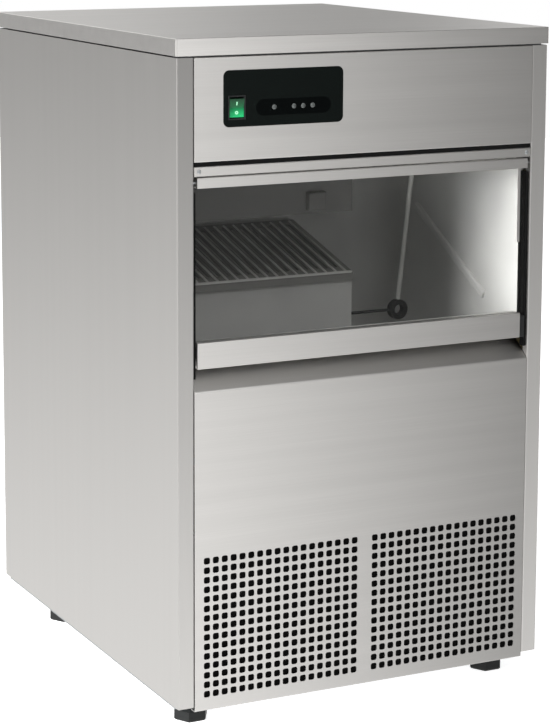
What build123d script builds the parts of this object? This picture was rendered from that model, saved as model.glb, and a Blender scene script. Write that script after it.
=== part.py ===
"""Under-counter ice cube machine in brushed stainless steel.

Frame: millimetres, +X to the right, +Y to the back, +Z up. The origin is on the
floor under the middle of the machine. The front faces -Y.
"""
from build123d import *
from math import cos, radians, sin
import os

# Cabinet
width = 500.0
depth = 590.0
foot_height = 30.0
body_height = 770.0
lid_height = 20.0
lid_shadow_gap = 2.0
lid_overhang = 1.5
seat_gap = 0.3
pin_clearance = 0.08
sheet = 1.0
bend = 1.6
column_width = 21.0
column_lip = 10.0
column_rise = 3.0
panel_gap = 0.5
rear_recess = 13.5
rear_flange = 15.0
flange = 11.0
pan_edge = 25.0
rail_depth = 36.0
corner_radius = 2.5

# Lower front panel and its two grilles
lower_panel_height = 382.0
panel_drop = 3.0
recess_rise = 24.0
recess_lip = 9.0
hole_side = 8.0
hole_pitch = 11.6
hole_rows = 15
first_row_height = 17.0
grille_gap = 28.0

# Fascia, header strip and display
fascia_low = 650.0
header_low = 634.0
header_high = 645.0
display_width = 155.0
display_height = 65.0
display_from_left = 60.0
display_low = 689.0
display_thickness = 3.0
display_proud = 0.3
display_radius = 7.0
switch_width = 22.0
switch_height = 28.0
switch_from_left = 77.0
switch_centre_height = 711.0
switch_wall = 1.5
switch_body_depth = 18.0
rocker_thickness = 5.0
rocker_pivot_radius = 1.5
rocker_proud = 0.9
rocker_dip = 1.5
rocker_slack = 2.0
rocker_waist = 1.0
rocker_tail = 4.0
led_radius = 2.5
led_places = (125.0, 150.5, 162.5, 175.0)
led_height = 710.0
led_length = 6.0
pill_from_left = 149.0
pill_width = 94.0
pill_height = 18.0
pill_depth = 0.8
board_thickness = 1.6
post_side = 6.0
relay_size = (40.0, 14.4, 32.0)

# Door
door_low = 409.0
bottom_rail_high = 440.0
top_rail_low = 620.0
top_rail_high = 632.5
door_side_gap = 4.5
door_thickness = 12.0
door_corner = 2.0
pane_thickness = 3.0
pane_clearance = 0.2
pane_slot_depth = 4.0
end_block_width = 7.0
finger_groove_width = 6.0
finger_groove_depth = 12.0
pin_radius = 1.5
pin_bite = 9.0
hinge_drop = 6.3
bracket_width = 9.0
bracket_side = 20.0

# Bin
liner_side = 27.0
liner_wall = 3.0
liner_front = 33.0
liner_lip = 14.0
pipe_room = 193.2
bin_floor = 318.0
bin_sill = 436.0
bin_ceiling = 657.0
bin_right_radius = 60.0
bin_left_radius = 12.0
bin_floor_radius = 10.0
foam_thickness = 22.0
rib_height = 3.0
rib_width = 5.0
rib_start = (94.0, 446.0)
rib_end = (267.0, 540.0)
seal_width = 5.5
seal_thickness = 3.4
seal_top = 615.0

# Ice maker in the top left of the bin
ice_drop_width = 133.7
maker_depth = 179.0
maker_wall = 2.5
maker_corner = 13.0
shroud_low = 549.0
tank_low = 370.0
slide_lip_height = 468.0
slide_slope = 15.0
slide_thickness = 3.0
slide_overhang = 4.0
slide_lip = 8.0
slat_pitch = 14.0
slat_slot = 6.0
slat_margin = 14.0
hanger_height = 37.9
evaporator_plate = 4.0
cup_side = 34.0
cup_depth = 28.0
cup_wall = 1.5
cup_pitch_x = 62.0
cup_pitch_y = 50.0
hanger_side = 6.0
spray_height = 440.0
spray_side = 14.0
nozzle_side = 8.0
nozzle_rise = 14.0
nozzle_count = 5
nozzle_taper = 10.0
sensor_width = 25.0
sensor_height = 23.0
sensor_depth = 8.0
sensor_from_right = 42.0
sensor_low = 554.0
sensor_fillet = 2.0
probe_radius = 3.5
probe_from_right = 62.7
probe_lean = 26.0
probe_low = 414.0
ring_radius = 13.0
ring_depth = 9.0
rod_radius = 2.0

# Machine room
room_clearance = 1.0
compressor_from_left = 125.0
compressor_from_back = 114.7
compressor_radius = 72.0
compressor_height = 160.0
compressor_dome = (22.0, 34.0)
compressor_seam = (3.0, 5.0)
compressor_seam_height = 72.0
compressor_plate = (170.0, 120.0, 4.0)
compressor_plate_corner = 20.0
grommet_inset = 15.0
grommet_radius = 9.0
grommet_height = 12.0
condenser_from_right = 150.0
condenser_width = 250.0
condenser_height = 190.0
condenser_depth = 42.0
condenser_front = 24.0
fin_pitch = 15.0
fin_slot = 8.0
fan_radius = 84.0
fan_opening = 88.0
fan_hub_radius = 20.0
fan_width = 26.0
fan_blades = 5
fan_tilt = 28.0
blade_thickness = 2.0
shroud_depth = 14.0
shaft_radius = 3.0
motor_radius = 30.0
motor_length = 52.0
motor_chamfer = 4.0
bracket_thickness = 2.0
bracket_span = 36.0
drier_x = 0.0
drier_from_back = 89.7
drier_radius = 10.0
drier_neck = 4.0
drier_height = 95.0
drier_low = 60.0
pipe_radius = 3.2
pipe_bend = 15.0
pipe_level = 222.0
pipe_drop = 12.8
discharge_offset = 85.0
suction_offset = 25.0
pump_from_right = 200.0
pump_from_back = 79.7
pump_radius = 28.0
pump_height = 62.0
pump_foot = 8.0
pump_step = 2.0
box_size = (90.0, 62.0, 110.0)
box_from_right = 120.0
box_from_back = 59.7
box_corner = 4.0

# Rear connections
inlet_from_right = 70.0
inlet_height = 170.0
inlet_radius = 12.0
inlet_neck = 10.0
inlet_bore = 7.0
inlet_body = (34.0, 28.0, 32.0)
drain_from_right = 50.0
drain_height = 40.0
drain_from_bin_back = 46.5
drain_radius = 11.0
drain_pipe_radius = 9.0
drain_bore = 7.0
drain_bend = 30.0
socket_from_left = 80.0
socket_height = 90.0
socket_size = (30.0, 24.0)
socket_depth = 22.0
socket_rim = 2.0
socket_wall = 4.0
socket_floor = 6.0
louvre_width = 60.0
louvre_height = 6.0
louvre_pitch = 24.0
louvre_rows = 6
louvre_columns = 3
louvre_spacing = 96.0

# Feet and screws
foot_across = 38.0
foot_pad = 13.0
foot_chamfer = 2.0
foot_inset_x = 42.0
foot_inset_front = 55.0
foot_inset_rear = 125.0
stem_radius = 4.0
stem_length = 17.0
nut_across = 15.0
screw_across = 8.0
screw_inset = 27.2
screw_pitch_z = 330.0
screw_head = 1.6

# Derived places
base = foot_height
front = -depth / 2 + lid_overhang
rear = -front
side_face = width / 2 - lid_overhang
inner_side = side_face - sheet
column_edge = side_face - column_width
body_top = base + body_height
lid_low = body_top + lid_shadow_gap
lid_top = lid_low + lid_height
rear_plane = rear - rear_recess - seat_gap
screw_x = inner_side - seat_gap - screw_inset
pan_front = front + flange + room_clearance
pan_rear = rear_plane - sheet - seat_gap
pan_floor = base + sheet
part_floor = pan_floor + seat_gap
cover_half = column_edge - panel_gap
bin_front = front + liner_front
bin_back = rear_plane - pipe_room
bin_depth = bin_back - bin_front
bin_half = width / 2 - liner_side
liner_half = bin_half + liner_wall
liner_back = bin_back + liner_wall
liner_low = base + bin_floor
liner_high = base + bin_ceiling + liner_wall
lip_front = bin_front - liner_wall - liner_lip
foam_back = liner_back + seat_gap + foam_thickness
foam_low = liner_low - foam_thickness
maker_left = -bin_half + seat_gap
maker_right = bin_half - ice_drop_width
maker_width = maker_right - maker_left
maker_centre = (maker_left + maker_right) / 2
maker_back = bin_back - seat_gap
maker_front = maker_back - maker_depth
shroud_under = base + bin_ceiling - 2 * seat_gap - maker_wall
plate_z = shroud_under - hanger_height - evaporator_plate
slide_plane = Plane(
    origin=(maker_centre, maker_front, base + slide_lip_height),
    x_dir=(1, 0, 0),
    z_dir=(0, -sin(radians(slide_slope)), cos(radians(slide_slope))),
)
door_half = column_edge - door_side_gap
door_back = front + door_thickness
hinge_y = front + door_thickness / 2
hinge_z = base + top_rail_high - hinge_drop
foot_centres = {
    "foot_front_left": (-width / 2 + foot_inset_x, -depth / 2 + foot_inset_front),
    "foot_front_right": (width / 2 - foot_inset_x, -depth / 2 + foot_inset_front),
    "foot_rear_left": (-width / 2 + foot_inset_x, depth / 2 - foot_inset_rear),
    "foot_rear_right": (width / 2 - foot_inset_x, depth / 2 - foot_inset_rear),
}
display_x = -width / 2 + display_from_left + display_width / 2
display_z = base + display_low + display_height / 2
switch_x = -width / 2 + switch_from_left
switch_z = base + switch_centre_height
fan_y = front + condenser_front + condenser_depth + 2 * seat_gap + sheet + fan_width / 2
fan_z = part_floor + condenser_height / 2
motor_front = fan_y + fan_width / 2 + room_clearance
condenser_centre = width / 2 - condenser_from_right
compressor_x = -width / 2 + compressor_from_left
compressor_y = rear_plane - compressor_from_back
drier_y = rear_plane - drier_from_back
inlet_x = width / 2 - inlet_from_right
inlet_z = base + inlet_height
drain_x = width / 2 - drain_from_right
drain_z = base + drain_height
bin_drain_y = bin_back - drain_from_bin_back
socket_x = -width / 2 + socket_from_left
socket_z = base + socket_height
spigot_start = rear_plane + seat_gap
hole_columns = int((cover_half - grille_gap / 2) / hole_pitch)
grille_spacing = grille_gap + (hole_columns - 1) * hole_pitch


def folded(points, radius, side):
    """Add the face of a bent sheet: its outer line, with the metal on one side."""
    with BuildLine() as outline:
        FilletPolyline(*points, radius=radius)
        offset(amount=sheet, side=side)
    make_face(outline.edges())


def block(x0, x1, y0, y1, z0, z1, mode=Mode.ADD):
    """Box between two corners, for plain housings and straight cuts."""
    with Locations(((x0 + x1) / 2, (y0 + y1) / 2, (z0 + z1) / 2)):
        Box(x1 - x0, y1 - y0, z1 - z0, mode=mode)


# Cabinet sheet metal

with BuildPart() as base_pan:
    pan_centre = (pan_front + pan_rear) / 2
    pan_length = pan_rear - pan_front
    pan_width = 2 * (inner_side - seat_gap)
    with BuildSketch(Plane.XY.offset(base)):
        with Locations((0, pan_centre)):
            Rectangle(pan_width, pan_length)
    extrude(amount=pan_edge)
    with BuildSketch(Plane.XY.offset(pan_floor)):
        with Locations((0, pan_centre)):
            Rectangle(pan_width - 2 * sheet, pan_length - 2 * sheet)
    extrude(amount=pan_edge, mode=Mode.SUBTRACT)
    with BuildSketch(Plane.XY.offset(base)):
        with Locations(*foot_centres.values()):
            Circle(stem_radius + pin_clearance)
    extrude(amount=sheet, mode=Mode.SUBTRACT)

with BuildPart() as left_side_panel:
    with BuildSketch(Plane.XY.offset(base + column_rise)):
        folded(
            [
                (-column_edge, front + column_lip),
                (-column_edge, front),
                (-side_face, front),
                (-side_face, rear),
                (-side_face + rear_flange, rear),
                (-side_face + rear_flange, rear - rear_recess),
            ],
            bend,
            Side.RIGHT,
        )
    extrude(amount=body_height - column_rise)
    with BuildSketch(Plane.YZ.offset(-column_edge)):
        with Locations((hinge_y, hinge_z)):
            Circle(pin_radius + seat_gap)
    extrude(amount=-sheet, mode=Mode.SUBTRACT)

with BuildPart() as right_side_panel:
    mirror(left_side_panel.part, about=Plane.YZ)

with BuildPart() as rear_panel:
    with BuildSketch(Plane.YZ.offset(-inner_side + seat_gap)):
        folded(
            [
                (rear_plane - flange, base + column_rise + pan_edge),
                (rear_plane, base + column_rise + pan_edge),
                (rear_plane, body_top),
                (rear_plane - flange, body_top),
            ],
            bend,
            Side.LEFT,
        )
    extrude(amount=2 * (inner_side - seat_gap))
    with BuildSketch(Plane.XZ.offset(-rear_plane - sheet)):
        with Locations((0, base + body_height / 2)):
            with GridLocations(louvre_spacing, louvre_pitch, louvre_columns, louvre_rows):
                Rectangle(louvre_width, louvre_height)
        with Locations((inlet_x, inlet_z)):
            Circle(inlet_neck + seat_gap)
        with Locations((drain_x, drain_z)):
            Circle(drain_pipe_radius + seat_gap)
        with Locations((socket_x, socket_z)):
            Rectangle(socket_size[0] + 2 * seat_gap, socket_size[1] + 2 * seat_gap)
    extrude(amount=3 * sheet, mode=Mode.SUBTRACT)

with BuildPart() as top_cover:
    with BuildSketch(Plane.XY.offset(lid_low)):
        RectangleRounded(width, depth, corner_radius)
    extrude(amount=lid_height)
    top_edges = top_cover.faces().sort_by(Axis.Z)[-1].edges()
    chamfer(top_edges, length=sheet / 2)
    with BuildSketch(Plane.XY.offset(lid_low)):
        RectangleRounded(width - 2 * sheet, depth - 2 * sheet, corner_radius - sheet)
    extrude(amount=lid_height - sheet, mode=Mode.SUBTRACT)


def top_rail(web_y, direction):
    """Channel across the cabinet that the lid is screwed to, open to the inside."""
    with BuildPart() as rail:
        with BuildSketch(Plane.YZ.offset(-inner_side + seat_gap)):
            folded(
                [
                    (web_y + direction * rail_depth, lid_top - sheet - seat_gap),
                    (web_y, lid_top - sheet - seat_gap),
                    (web_y, lid_top - rail_depth),
                    (web_y + direction * rail_depth, lid_top - rail_depth),
                ],
                bend,
                Side.LEFT if direction > 0 else Side.RIGHT,
            )
        extrude(amount=2 * (inner_side - seat_gap))
    return rail


top_front_rail = top_rail(front + flange + room_clearance, 1)
top_rear_rail = top_rail(pan_rear - flange, -1)

with BuildPart() as lower_front_panel:
    recess_back = bin_front - liner_wall - seat_gap - sheet
    panel_low = base - panel_drop
    panel_high = base + lower_panel_height
    with BuildSketch(Plane.YZ.offset(-cover_half)):
        folded(
            [
                (front + flange, panel_low),
                (front, panel_low),
                (front, panel_high),
                (recess_back, panel_high + recess_rise),
                (recess_back, panel_high + recess_rise + recess_lip),
            ],
            bend,
            Side.RIGHT,
        )
    extrude(amount=2 * cover_half)
    for x in (-cover_half, cover_half - sheet):
        block(x, x + sheet, front + sheet / 2, front + flange, panel_low + bend, panel_high - bend)
    with BuildSketch(Plane.XZ.offset(-front + sheet)):
        grille_middle = base + first_row_height + hole_pitch * (hole_rows - 1) / 2
        with Locations((0, grille_middle)):
            with GridLocations(grille_spacing, 0, 2, 1):
                with GridLocations(hole_pitch, hole_pitch, hole_columns, hole_rows):
                    Rectangle(hole_side, hole_side)
    extrude(amount=-3 * sheet, mode=Mode.SUBTRACT)

with BuildPart() as header_strip:
    with BuildSketch(Plane.YZ.offset(-cover_half)):
        folded(
            [
                (front, base + header_low),
                (front, base + header_high),
                (lip_front - panel_gap, base + header_high),
            ],
            bend,
            Side.RIGHT,
        )
    extrude(amount=2 * cover_half)

with BuildPart() as control_fascia:
    with BuildSketch(Plane.YZ.offset(-cover_half)):
        folded(
            [
                (front + flange, base + fascia_low),
                (front, base + fascia_low),
                (front, body_top),
                (front + flange, body_top),
            ],
            bend,
            Side.RIGHT,
        )
    extrude(amount=2 * cover_half)
    for x in (-cover_half, cover_half - sheet):
        block(x, x + sheet, front + sheet / 2, front + flange, base + fascia_low + bend,
              body_top - bend)
    with BuildSketch(Plane.XZ.offset(-front + sheet)):
        with Locations((display_x, display_z)):
            RectangleRounded(
                display_width + 2 * seat_gap, display_height + 2 * seat_gap, display_radius + seat_gap
            )
    extrude(amount=-3 * sheet, mode=Mode.SUBTRACT)

# Display, switch and control board

display_front = front - display_proud
with BuildPart() as display_plate:
    with BuildSketch(Plane.XZ.offset(-display_front)):
        with Locations((display_x, display_z)):
            RectangleRounded(display_width, display_height, display_radius)
    extrude(amount=-display_thickness)
    with BuildSketch(Plane.XZ.offset(-display_front)):
        with Locations((-width / 2 + pill_from_left, base + led_height)):
            SlotOverall(pill_width, pill_height)
    extrude(amount=-pill_depth, mode=Mode.SUBTRACT)
    with BuildSketch(Plane.XZ.offset(-display_front)):
        with Locations((switch_x, switch_z)):
            Rectangle(switch_width + 2 * seat_gap, switch_height + 2 * seat_gap)
        with Locations(*[(-width / 2 + x, base + led_height) for x in led_places]):
            Circle(led_radius + seat_gap / 2)
    extrude(amount=-display_thickness, mode=Mode.SUBTRACT)

switch_front = display_front - display_proud
with BuildPart() as switch_bezel:
    with BuildSketch(Plane.XZ.offset(-switch_front)):
        with Locations((switch_x, switch_z)):
            Rectangle(switch_width, switch_height)
    extrude(amount=-switch_body_depth)
    with BuildSketch(Plane.XZ.offset(-switch_front)):
        with Locations((switch_x, switch_z)):
            Rectangle(switch_width - 2 * switch_wall, switch_height - 2 * switch_wall)
    extrude(amount=-switch_body_depth + switch_wall, mode=Mode.SUBTRACT)
    pivot_y = switch_front + rocker_thickness + rocker_pivot_radius
    with BuildSketch(Plane.YZ.offset(switch_x - switch_width / 2)):
        with Locations((pivot_y, switch_z)):
            Circle(rocker_pivot_radius)
    extrude(amount=switch_width)

with BuildPart() as switch_rocker:
    rocker_half = switch_height / 2 - switch_wall - seat_gap
    rocker_side = switch_width / 2 - switch_wall - seat_gap
    with BuildSketch(Plane.YZ.offset(switch_x - rocker_side)):
        with BuildLine():
            Polyline(
                (switch_front - rocker_proud, switch_z + rocker_half - rocker_slack),
                (switch_front + rocker_dip, switch_z),
                (switch_front + rocker_dip, switch_z - rocker_half + rocker_slack / 2),
                (pivot_y - rocker_waist, switch_z - rocker_half + rocker_slack),
                (pivot_y + rocker_tail, switch_z - rocker_tail),
                (pivot_y + rocker_tail, switch_z + rocker_tail),
                (pivot_y - rocker_waist, switch_z + rocker_half - rocker_slack),
                close=True,
            )
        make_face()
        with Locations((pivot_y, switch_z)):
            Circle(rocker_pivot_radius + pin_clearance, mode=Mode.SUBTRACT)
    extrude(amount=2 * rocker_side)

with BuildPart() as led_lenses:
    with BuildSketch(Plane.XZ.offset(-display_front)):
        with Locations(*[(-width / 2 + x, base + led_height) for x in led_places]):
            Circle(led_radius)
    extrude(amount=-led_length)

board_front = switch_front + switch_body_depth + seat_gap
with BuildPart() as control_board:
    block(
        display_x - display_width / 2,
        display_x + display_width / 2,
        board_front,
        board_front + board_thickness,
        display_z - display_height / 2,
        display_z + display_height / 2,
    )
    standoff_low = display_front + display_thickness + seat_gap
    for x in (-1, 1):
        for z in (-1, 1):
            post_x = display_x + x * (display_width / 2 - 2 * post_side)
            post_z = display_z + z * (display_height - post_side) / 2
            half = post_side / 2
            block(post_x - half, post_x + half, standoff_low, board_front, post_z - half, post_z + half)
    relay_front = board_front + board_thickness
    block(display_x, display_x + relay_size[0], relay_front, relay_front + relay_size[1],
          display_z - relay_size[2] / 2, display_z + relay_size[2] / 2)

# Bin: white liner, foam and seal

with BuildPart() as bin_liner:
    block(-liner_half, liner_half, bin_front - liner_wall, liner_back, liner_low, liner_high)
    fillet(
        bin_liner.edges().filter_by(Axis.Z).group_by(Axis.Y)[-1].sort_by(Axis.X)[-1],
        bin_right_radius + liner_wall,
    )
    fillet(
        bin_liner.edges().filter_by(Axis.Z).group_by(Axis.Y)[-1].sort_by(Axis.X)[0],
        bin_left_radius + liner_wall,
    )
    block(-liner_half, liner_half, lip_front, bin_front, base + bin_sill - liner_wall, liner_high)
    with BuildSketch(Plane.XY.offset(liner_low + liner_wall)):
        with Locations((0, (bin_front + bin_back) / 2)):
            bin_plan = Rectangle(2 * bin_half, bin_depth)
        back_corners = bin_plan.vertices().group_by(Axis.Y)[-1].sort_by(Axis.X)
        fillet(back_corners[-1], bin_right_radius)
        fillet(bin_plan.vertices().group_by(Axis.Y)[-1].sort_by(Axis.X)[0], bin_left_radius)
    extrude(amount=liner_high - liner_low - 2 * liner_wall, mode=Mode.SUBTRACT)
    block(-bin_half, bin_half, lip_front, bin_front, base + bin_sill, liner_high - liner_wall,
          mode=Mode.SUBTRACT)
    with BuildSketch(Plane.XY.offset(liner_low)):
        with Locations((drain_x, bin_drain_y)):
            Circle(drain_bore)
    extrude(amount=liner_wall, mode=Mode.SUBTRACT)
    rib_plane = Plane.YZ.offset(bin_half - rib_height)
    with BuildSketch(rib_plane):
        with BuildLine():
            Line((front + rib_start[0], base + rib_start[1]), (front + rib_end[0], base + rib_end[1]))
        trace(line_width=rib_width)
    extrude(amount=rib_height + liner_wall / 2)

with BuildPart() as bin_foam:
    block(-inner_side + seat_gap, inner_side - seat_gap, bin_front, foam_back, foam_low,
          liner_high + foam_thickness)
    block(
        -liner_half - seat_gap,
        liner_half + seat_gap,
        bin_front - liner_wall,
        liner_back + seat_gap,
        liner_low - seat_gap,
        liner_high + seat_gap,
        mode=Mode.SUBTRACT,
    )
    with BuildSketch(Plane.XY.offset(foam_low)):
        with Locations((drain_x, bin_drain_y)):
            Circle(drain_pipe_radius + room_clearance)
    extrude(amount=foam_thickness, mode=Mode.SUBTRACT)

seal_back = lip_front - seat_gap
with BuildPart() as door_seal:
    seal_outer = cover_half
    seal_bottom = base + bin_sill - liner_wall
    with BuildSketch(Plane.XZ.offset(-seal_back)):
        with Locations((0, (seal_bottom + base + seal_top) / 2)):
            Rectangle(2 * seal_outer, base + seal_top - seal_bottom)
        with Locations((0, (seal_bottom + liner_wall + base + seal_top) / 2)):
            Rectangle(
                2 * (seal_outer - seal_width), base + seal_top - seal_bottom - liner_wall,
                mode=Mode.SUBTRACT,
            )
    extrude(amount=seal_thickness)

# Ice maker: shroud, evaporator, spray bar, tank and slatted slide


def maker_outline(inset):
    """Plan of the ice maker's housings, rounded where the bin's corner is."""
    with Locations((maker_centre, (maker_front + maker_back) / 2)):
        plan = Rectangle(maker_width - 2 * inset, maker_depth - 2 * inset)
    fillet(plan.vertices().group_by(Axis.Y)[-1].sort_by(Axis.X)[0], maker_corner - inset)


with BuildPart() as evaporator_shroud:
    shroud_base = base + shroud_low
    shroud_rise = base + bin_ceiling - seat_gap - shroud_base
    with BuildSketch(Plane.XY.offset(shroud_base)):
        maker_outline(0)
    extrude(amount=shroud_rise)
    with BuildSketch(Plane.XY.offset(shroud_base)):
        maker_outline(maker_wall)
    extrude(amount=shroud_rise - maker_wall, mode=Mode.SUBTRACT)

with BuildPart() as evaporator:
    plate_centre = (maker_centre, (maker_front + maker_back) / 2)
    with BuildSketch(Plane.XY.offset(plate_z)):
        with Locations(plate_centre):
            Rectangle(4 * cup_pitch_x, 3 * cup_pitch_y)
    extrude(amount=evaporator_plate)
    with BuildSketch(Plane.XY.offset(plate_z)):
        with Locations(plate_centre):
            with GridLocations(cup_pitch_x, cup_pitch_y, 4, 3):
                Rectangle(cup_side, cup_side)
                Rectangle(cup_side - 2 * cup_wall, cup_side - 2 * cup_wall, mode=Mode.SUBTRACT)
    extrude(amount=-cup_depth)
    with BuildSketch(Plane.XY.offset(plate_z + evaporator_plate)):
        with Locations(plate_centre):
            with GridLocations(3.5 * cup_pitch_x, 2.5 * cup_pitch_y, 2, 2):
                Rectangle(hanger_side, hanger_side)
    extrude(amount=hanger_height)

with BuildPart() as water_tank:
    tank_base = base + tank_low
    with BuildSketch(Plane.XY.offset(tank_base)):
        maker_outline(0)
    extrude(amount=base + shroud_low - tank_base)
    with BuildSketch(Plane.XY.offset(tank_base + maker_wall)):
        maker_outline(maker_wall)
    extrude(amount=base + shroud_low - tank_base, mode=Mode.SUBTRACT)
    split(bisect_by=slide_plane.offset(-seat_gap), keep=Keep.BOTTOM)

with BuildPart() as spray_bar:
    bar_z = base + spray_height
    bar_y = (maker_front + maker_back) / 2
    bar_half = maker_width / 2 - maker_wall - seat_gap
    block(maker_centre - bar_half, maker_centre + bar_half, bar_y - spray_side / 2,
          bar_y + spray_side / 2, bar_z, bar_z + spray_side)
    with BuildSketch(Plane.XY.offset(bar_z + spray_side)):
        with Locations((maker_centre, bar_y)):
            with GridLocations(cup_pitch_x, 0, nozzle_count, 1):
                Rectangle(nozzle_side, nozzle_side)
    extrude(amount=nozzle_rise, taper=nozzle_taper)

with BuildPart() as ice_slide:
    slide_length = (maker_depth - maker_corner) / cos(radians(slide_slope))
    slide_width = maker_width - seat_gap
    with BuildSketch(slide_plane):
        with Locations((0, (slide_length - slide_overhang) / 2)):
            Rectangle(slide_width, slide_length + slide_overhang)
        slat_slots = int((slide_width - slat_slot) / slat_pitch)
        with Locations((0, slide_length / 2)):
            with GridLocations(slat_pitch, 0, slat_slots, 1):
                Rectangle(slat_slot, slide_length - 2 * slat_margin, mode=Mode.SUBTRACT)
    extrude(amount=slide_thickness)
    with BuildSketch(slide_plane):
        with Locations((0, -slide_overhang / 2 - seat_gap)):
            Rectangle(slide_width, slide_overhang - 2 * seat_gap)
    extrude(amount=slide_lip, dir=(0, 0, -1))

with BuildPart() as sensor_box:
    sensor_right = maker_right - sensor_from_right
    block(sensor_right - sensor_width, sensor_right, maker_front - seat_gap - sensor_depth,
          maker_front - seat_gap, base + sensor_low, base + sensor_low + sensor_height)
    fillet(sensor_box.faces().sort_by(Axis.Y)[0].edges(), sensor_fillet)

ring_x = bin_half - probe_from_right
ring_z = base + probe_low
probe_y = maker_front + ring_depth / 2
with BuildPart() as probe_ring:
    with BuildSketch(Plane.XZ.offset(-maker_front)):
        with Locations((ring_x, ring_z)):
            Circle(ring_radius)
            Circle(ring_radius / 2, mode=Mode.SUBTRACT)
    extrude(amount=-ring_depth)

with BuildPart() as probe_rod:
    rod_start = maker_right + seat_gap
    with BuildSketch(Plane.YZ.offset(rod_start)):
        with Locations((probe_y, ring_z)):
            Circle(rod_radius)
    extrude(amount=ring_x - ring_radius - seat_gap - rod_start)

with BuildPart() as probe_tube:
    probe_start = Vector(ring_x, probe_y, ring_z + ring_radius + seat_gap)
    probe_end = Vector(ring_x + probe_lean, probe_y, base + bin_ceiling - seat_gap)
    with BuildSketch(Plane(origin=probe_start)):
        Circle(probe_radius)
    extrude(amount=(probe_end - probe_start).length, dir=probe_end - probe_start)

# Door: clear pane between two rails, hung on two pins

with BuildPart() as door_pane:
    pane_y = hinge_y - pane_thickness / 2
    pane_high = base + top_rail_low + pane_slot_depth - pane_clearance
    pane_low = base + bottom_rail_high - pane_slot_depth + pane_clearance
    block(-door_half, door_half, pane_y, pane_y + pane_thickness, pane_low, pane_high)


def pane_slot(z, reach):
    """Slot for the pane in a rail, cut from height z by reach."""
    half = pane_thickness / 2 + pane_clearance
    block(-door_half, door_half, hinge_y - half, hinge_y + half, min(z, z + reach),
          max(z, z + reach), mode=Mode.SUBTRACT)


with BuildPart() as door_top_rail:
    block(-door_half, door_half, front, door_back, base + top_rail_low, base + top_rail_high)
    fillet(door_top_rail.edges().filter_by(Axis.X).group_by(Axis.Z)[-1], door_corner)
    pane_slot(base + top_rail_low, pane_slot_depth)
    with BuildSketch(Plane.YZ.offset(door_half)):
        with Locations((hinge_y, hinge_z)):
            Circle(pin_radius + pin_clearance)
    extrude(amount=-pin_bite - seat_gap, mode=Mode.SUBTRACT)
    with BuildSketch(Plane.YZ.offset(-door_half)):
        with Locations((hinge_y, hinge_z)):
            Circle(pin_radius + pin_clearance)
    extrude(amount=pin_bite + seat_gap, mode=Mode.SUBTRACT)

with BuildPart() as door_bottom_rail:
    rail_right = door_half - end_block_width
    block(-door_half, rail_right, front, door_back, base + door_low, base + bottom_rail_high)
    fillet(door_bottom_rail.edges().filter_by(Axis.X).group_by(Axis.Y)[0], door_corner / 2)
    pane_slot(base + bottom_rail_high, -pane_slot_depth)
    block(-door_half, rail_right, front + door_corner, front + door_corner + finger_groove_width,
          base + door_low, base + door_low + finger_groove_depth, mode=Mode.SUBTRACT)

with BuildPart() as door_end_block:
    block(rail_right + seat_gap, door_half, front + sheet, door_back, base + door_low,
          pane_low - pane_clearance)

with BuildPart() as hinge_pins:
    pin_end = column_edge + sheet + bracket_width
    for side in (-1, 1):
        with BuildSketch(Plane.YZ.offset(side * (door_half - pin_bite))):
            with Locations((hinge_y, hinge_z)):
                Circle(pin_radius)
        extrude(amount=side * (pin_end - door_half + pin_bite))

with BuildPart() as hinge_brackets:
    for side in (-1, 1):
        with BuildSketch(Plane.YZ.offset(side * (column_edge + sheet + seat_gap))):
            with Locations((front + sheet + seat_gap + bracket_side / 2, hinge_z)):
                Rectangle(bracket_side, bracket_side)
            with Locations((hinge_y, hinge_z)):
                Circle(pin_radius + pin_clearance, mode=Mode.SUBTRACT)
        extrude(amount=side * bracket_width)

# Machine room: compressor, condenser with its fan, drier, pump and controls

compressor_place = (compressor_x, compressor_y)
compressor_foot = part_floor + grommet_height + seat_gap
with BuildPart() as compressor:
    with BuildSketch(Plane.XY.offset(compressor_foot)):
        with Locations(compressor_place):
            RectangleRounded(compressor_plate[0], compressor_plate[1], compressor_plate_corner)
    extrude(amount=compressor_plate[2])
    with BuildSketch(Plane.XY.offset(compressor_foot + compressor_plate[2])):
        with Locations(compressor_place):
            Circle(compressor_radius)
    extrude(amount=compressor_height - compressor_plate[2])
    chamfer(compressor.edges().group_by(Axis.Z)[-1], *compressor_dome)
    with BuildSketch(Plane.XY.offset(compressor_foot + compressor_seam_height)):
        with Locations(compressor_place):
            Circle(compressor_radius + compressor_seam[0])
    extrude(amount=compressor_seam[1])

with BuildPart() as compressor_grommets:
    with BuildSketch(Plane.XY.offset(part_floor)):
        with Locations(compressor_place):
            with GridLocations(
                compressor_plate[0] - 2 * grommet_inset, compressor_plate[1] - 2 * grommet_inset, 2, 2
            ):
                Circle(grommet_radius)
    extrude(amount=grommet_height)

condenser_y = front + condenser_front
with BuildPart() as condenser:
    x0 = condenser_centre - condenser_width / 2
    block(x0, x0 + condenser_width, condenser_y, condenser_y + condenser_depth, part_floor,
          part_floor + condenser_height)
    with BuildSketch(Plane.XY.offset(part_floor)):
        with Locations((condenser_centre, condenser_y)):
            with GridLocations(fin_pitch, 0, int(condenser_width / fin_pitch) - 1, 1):
                Rectangle(fin_slot, condenser_depth)
    extrude(amount=condenser_height, mode=Mode.SUBTRACT)

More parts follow.
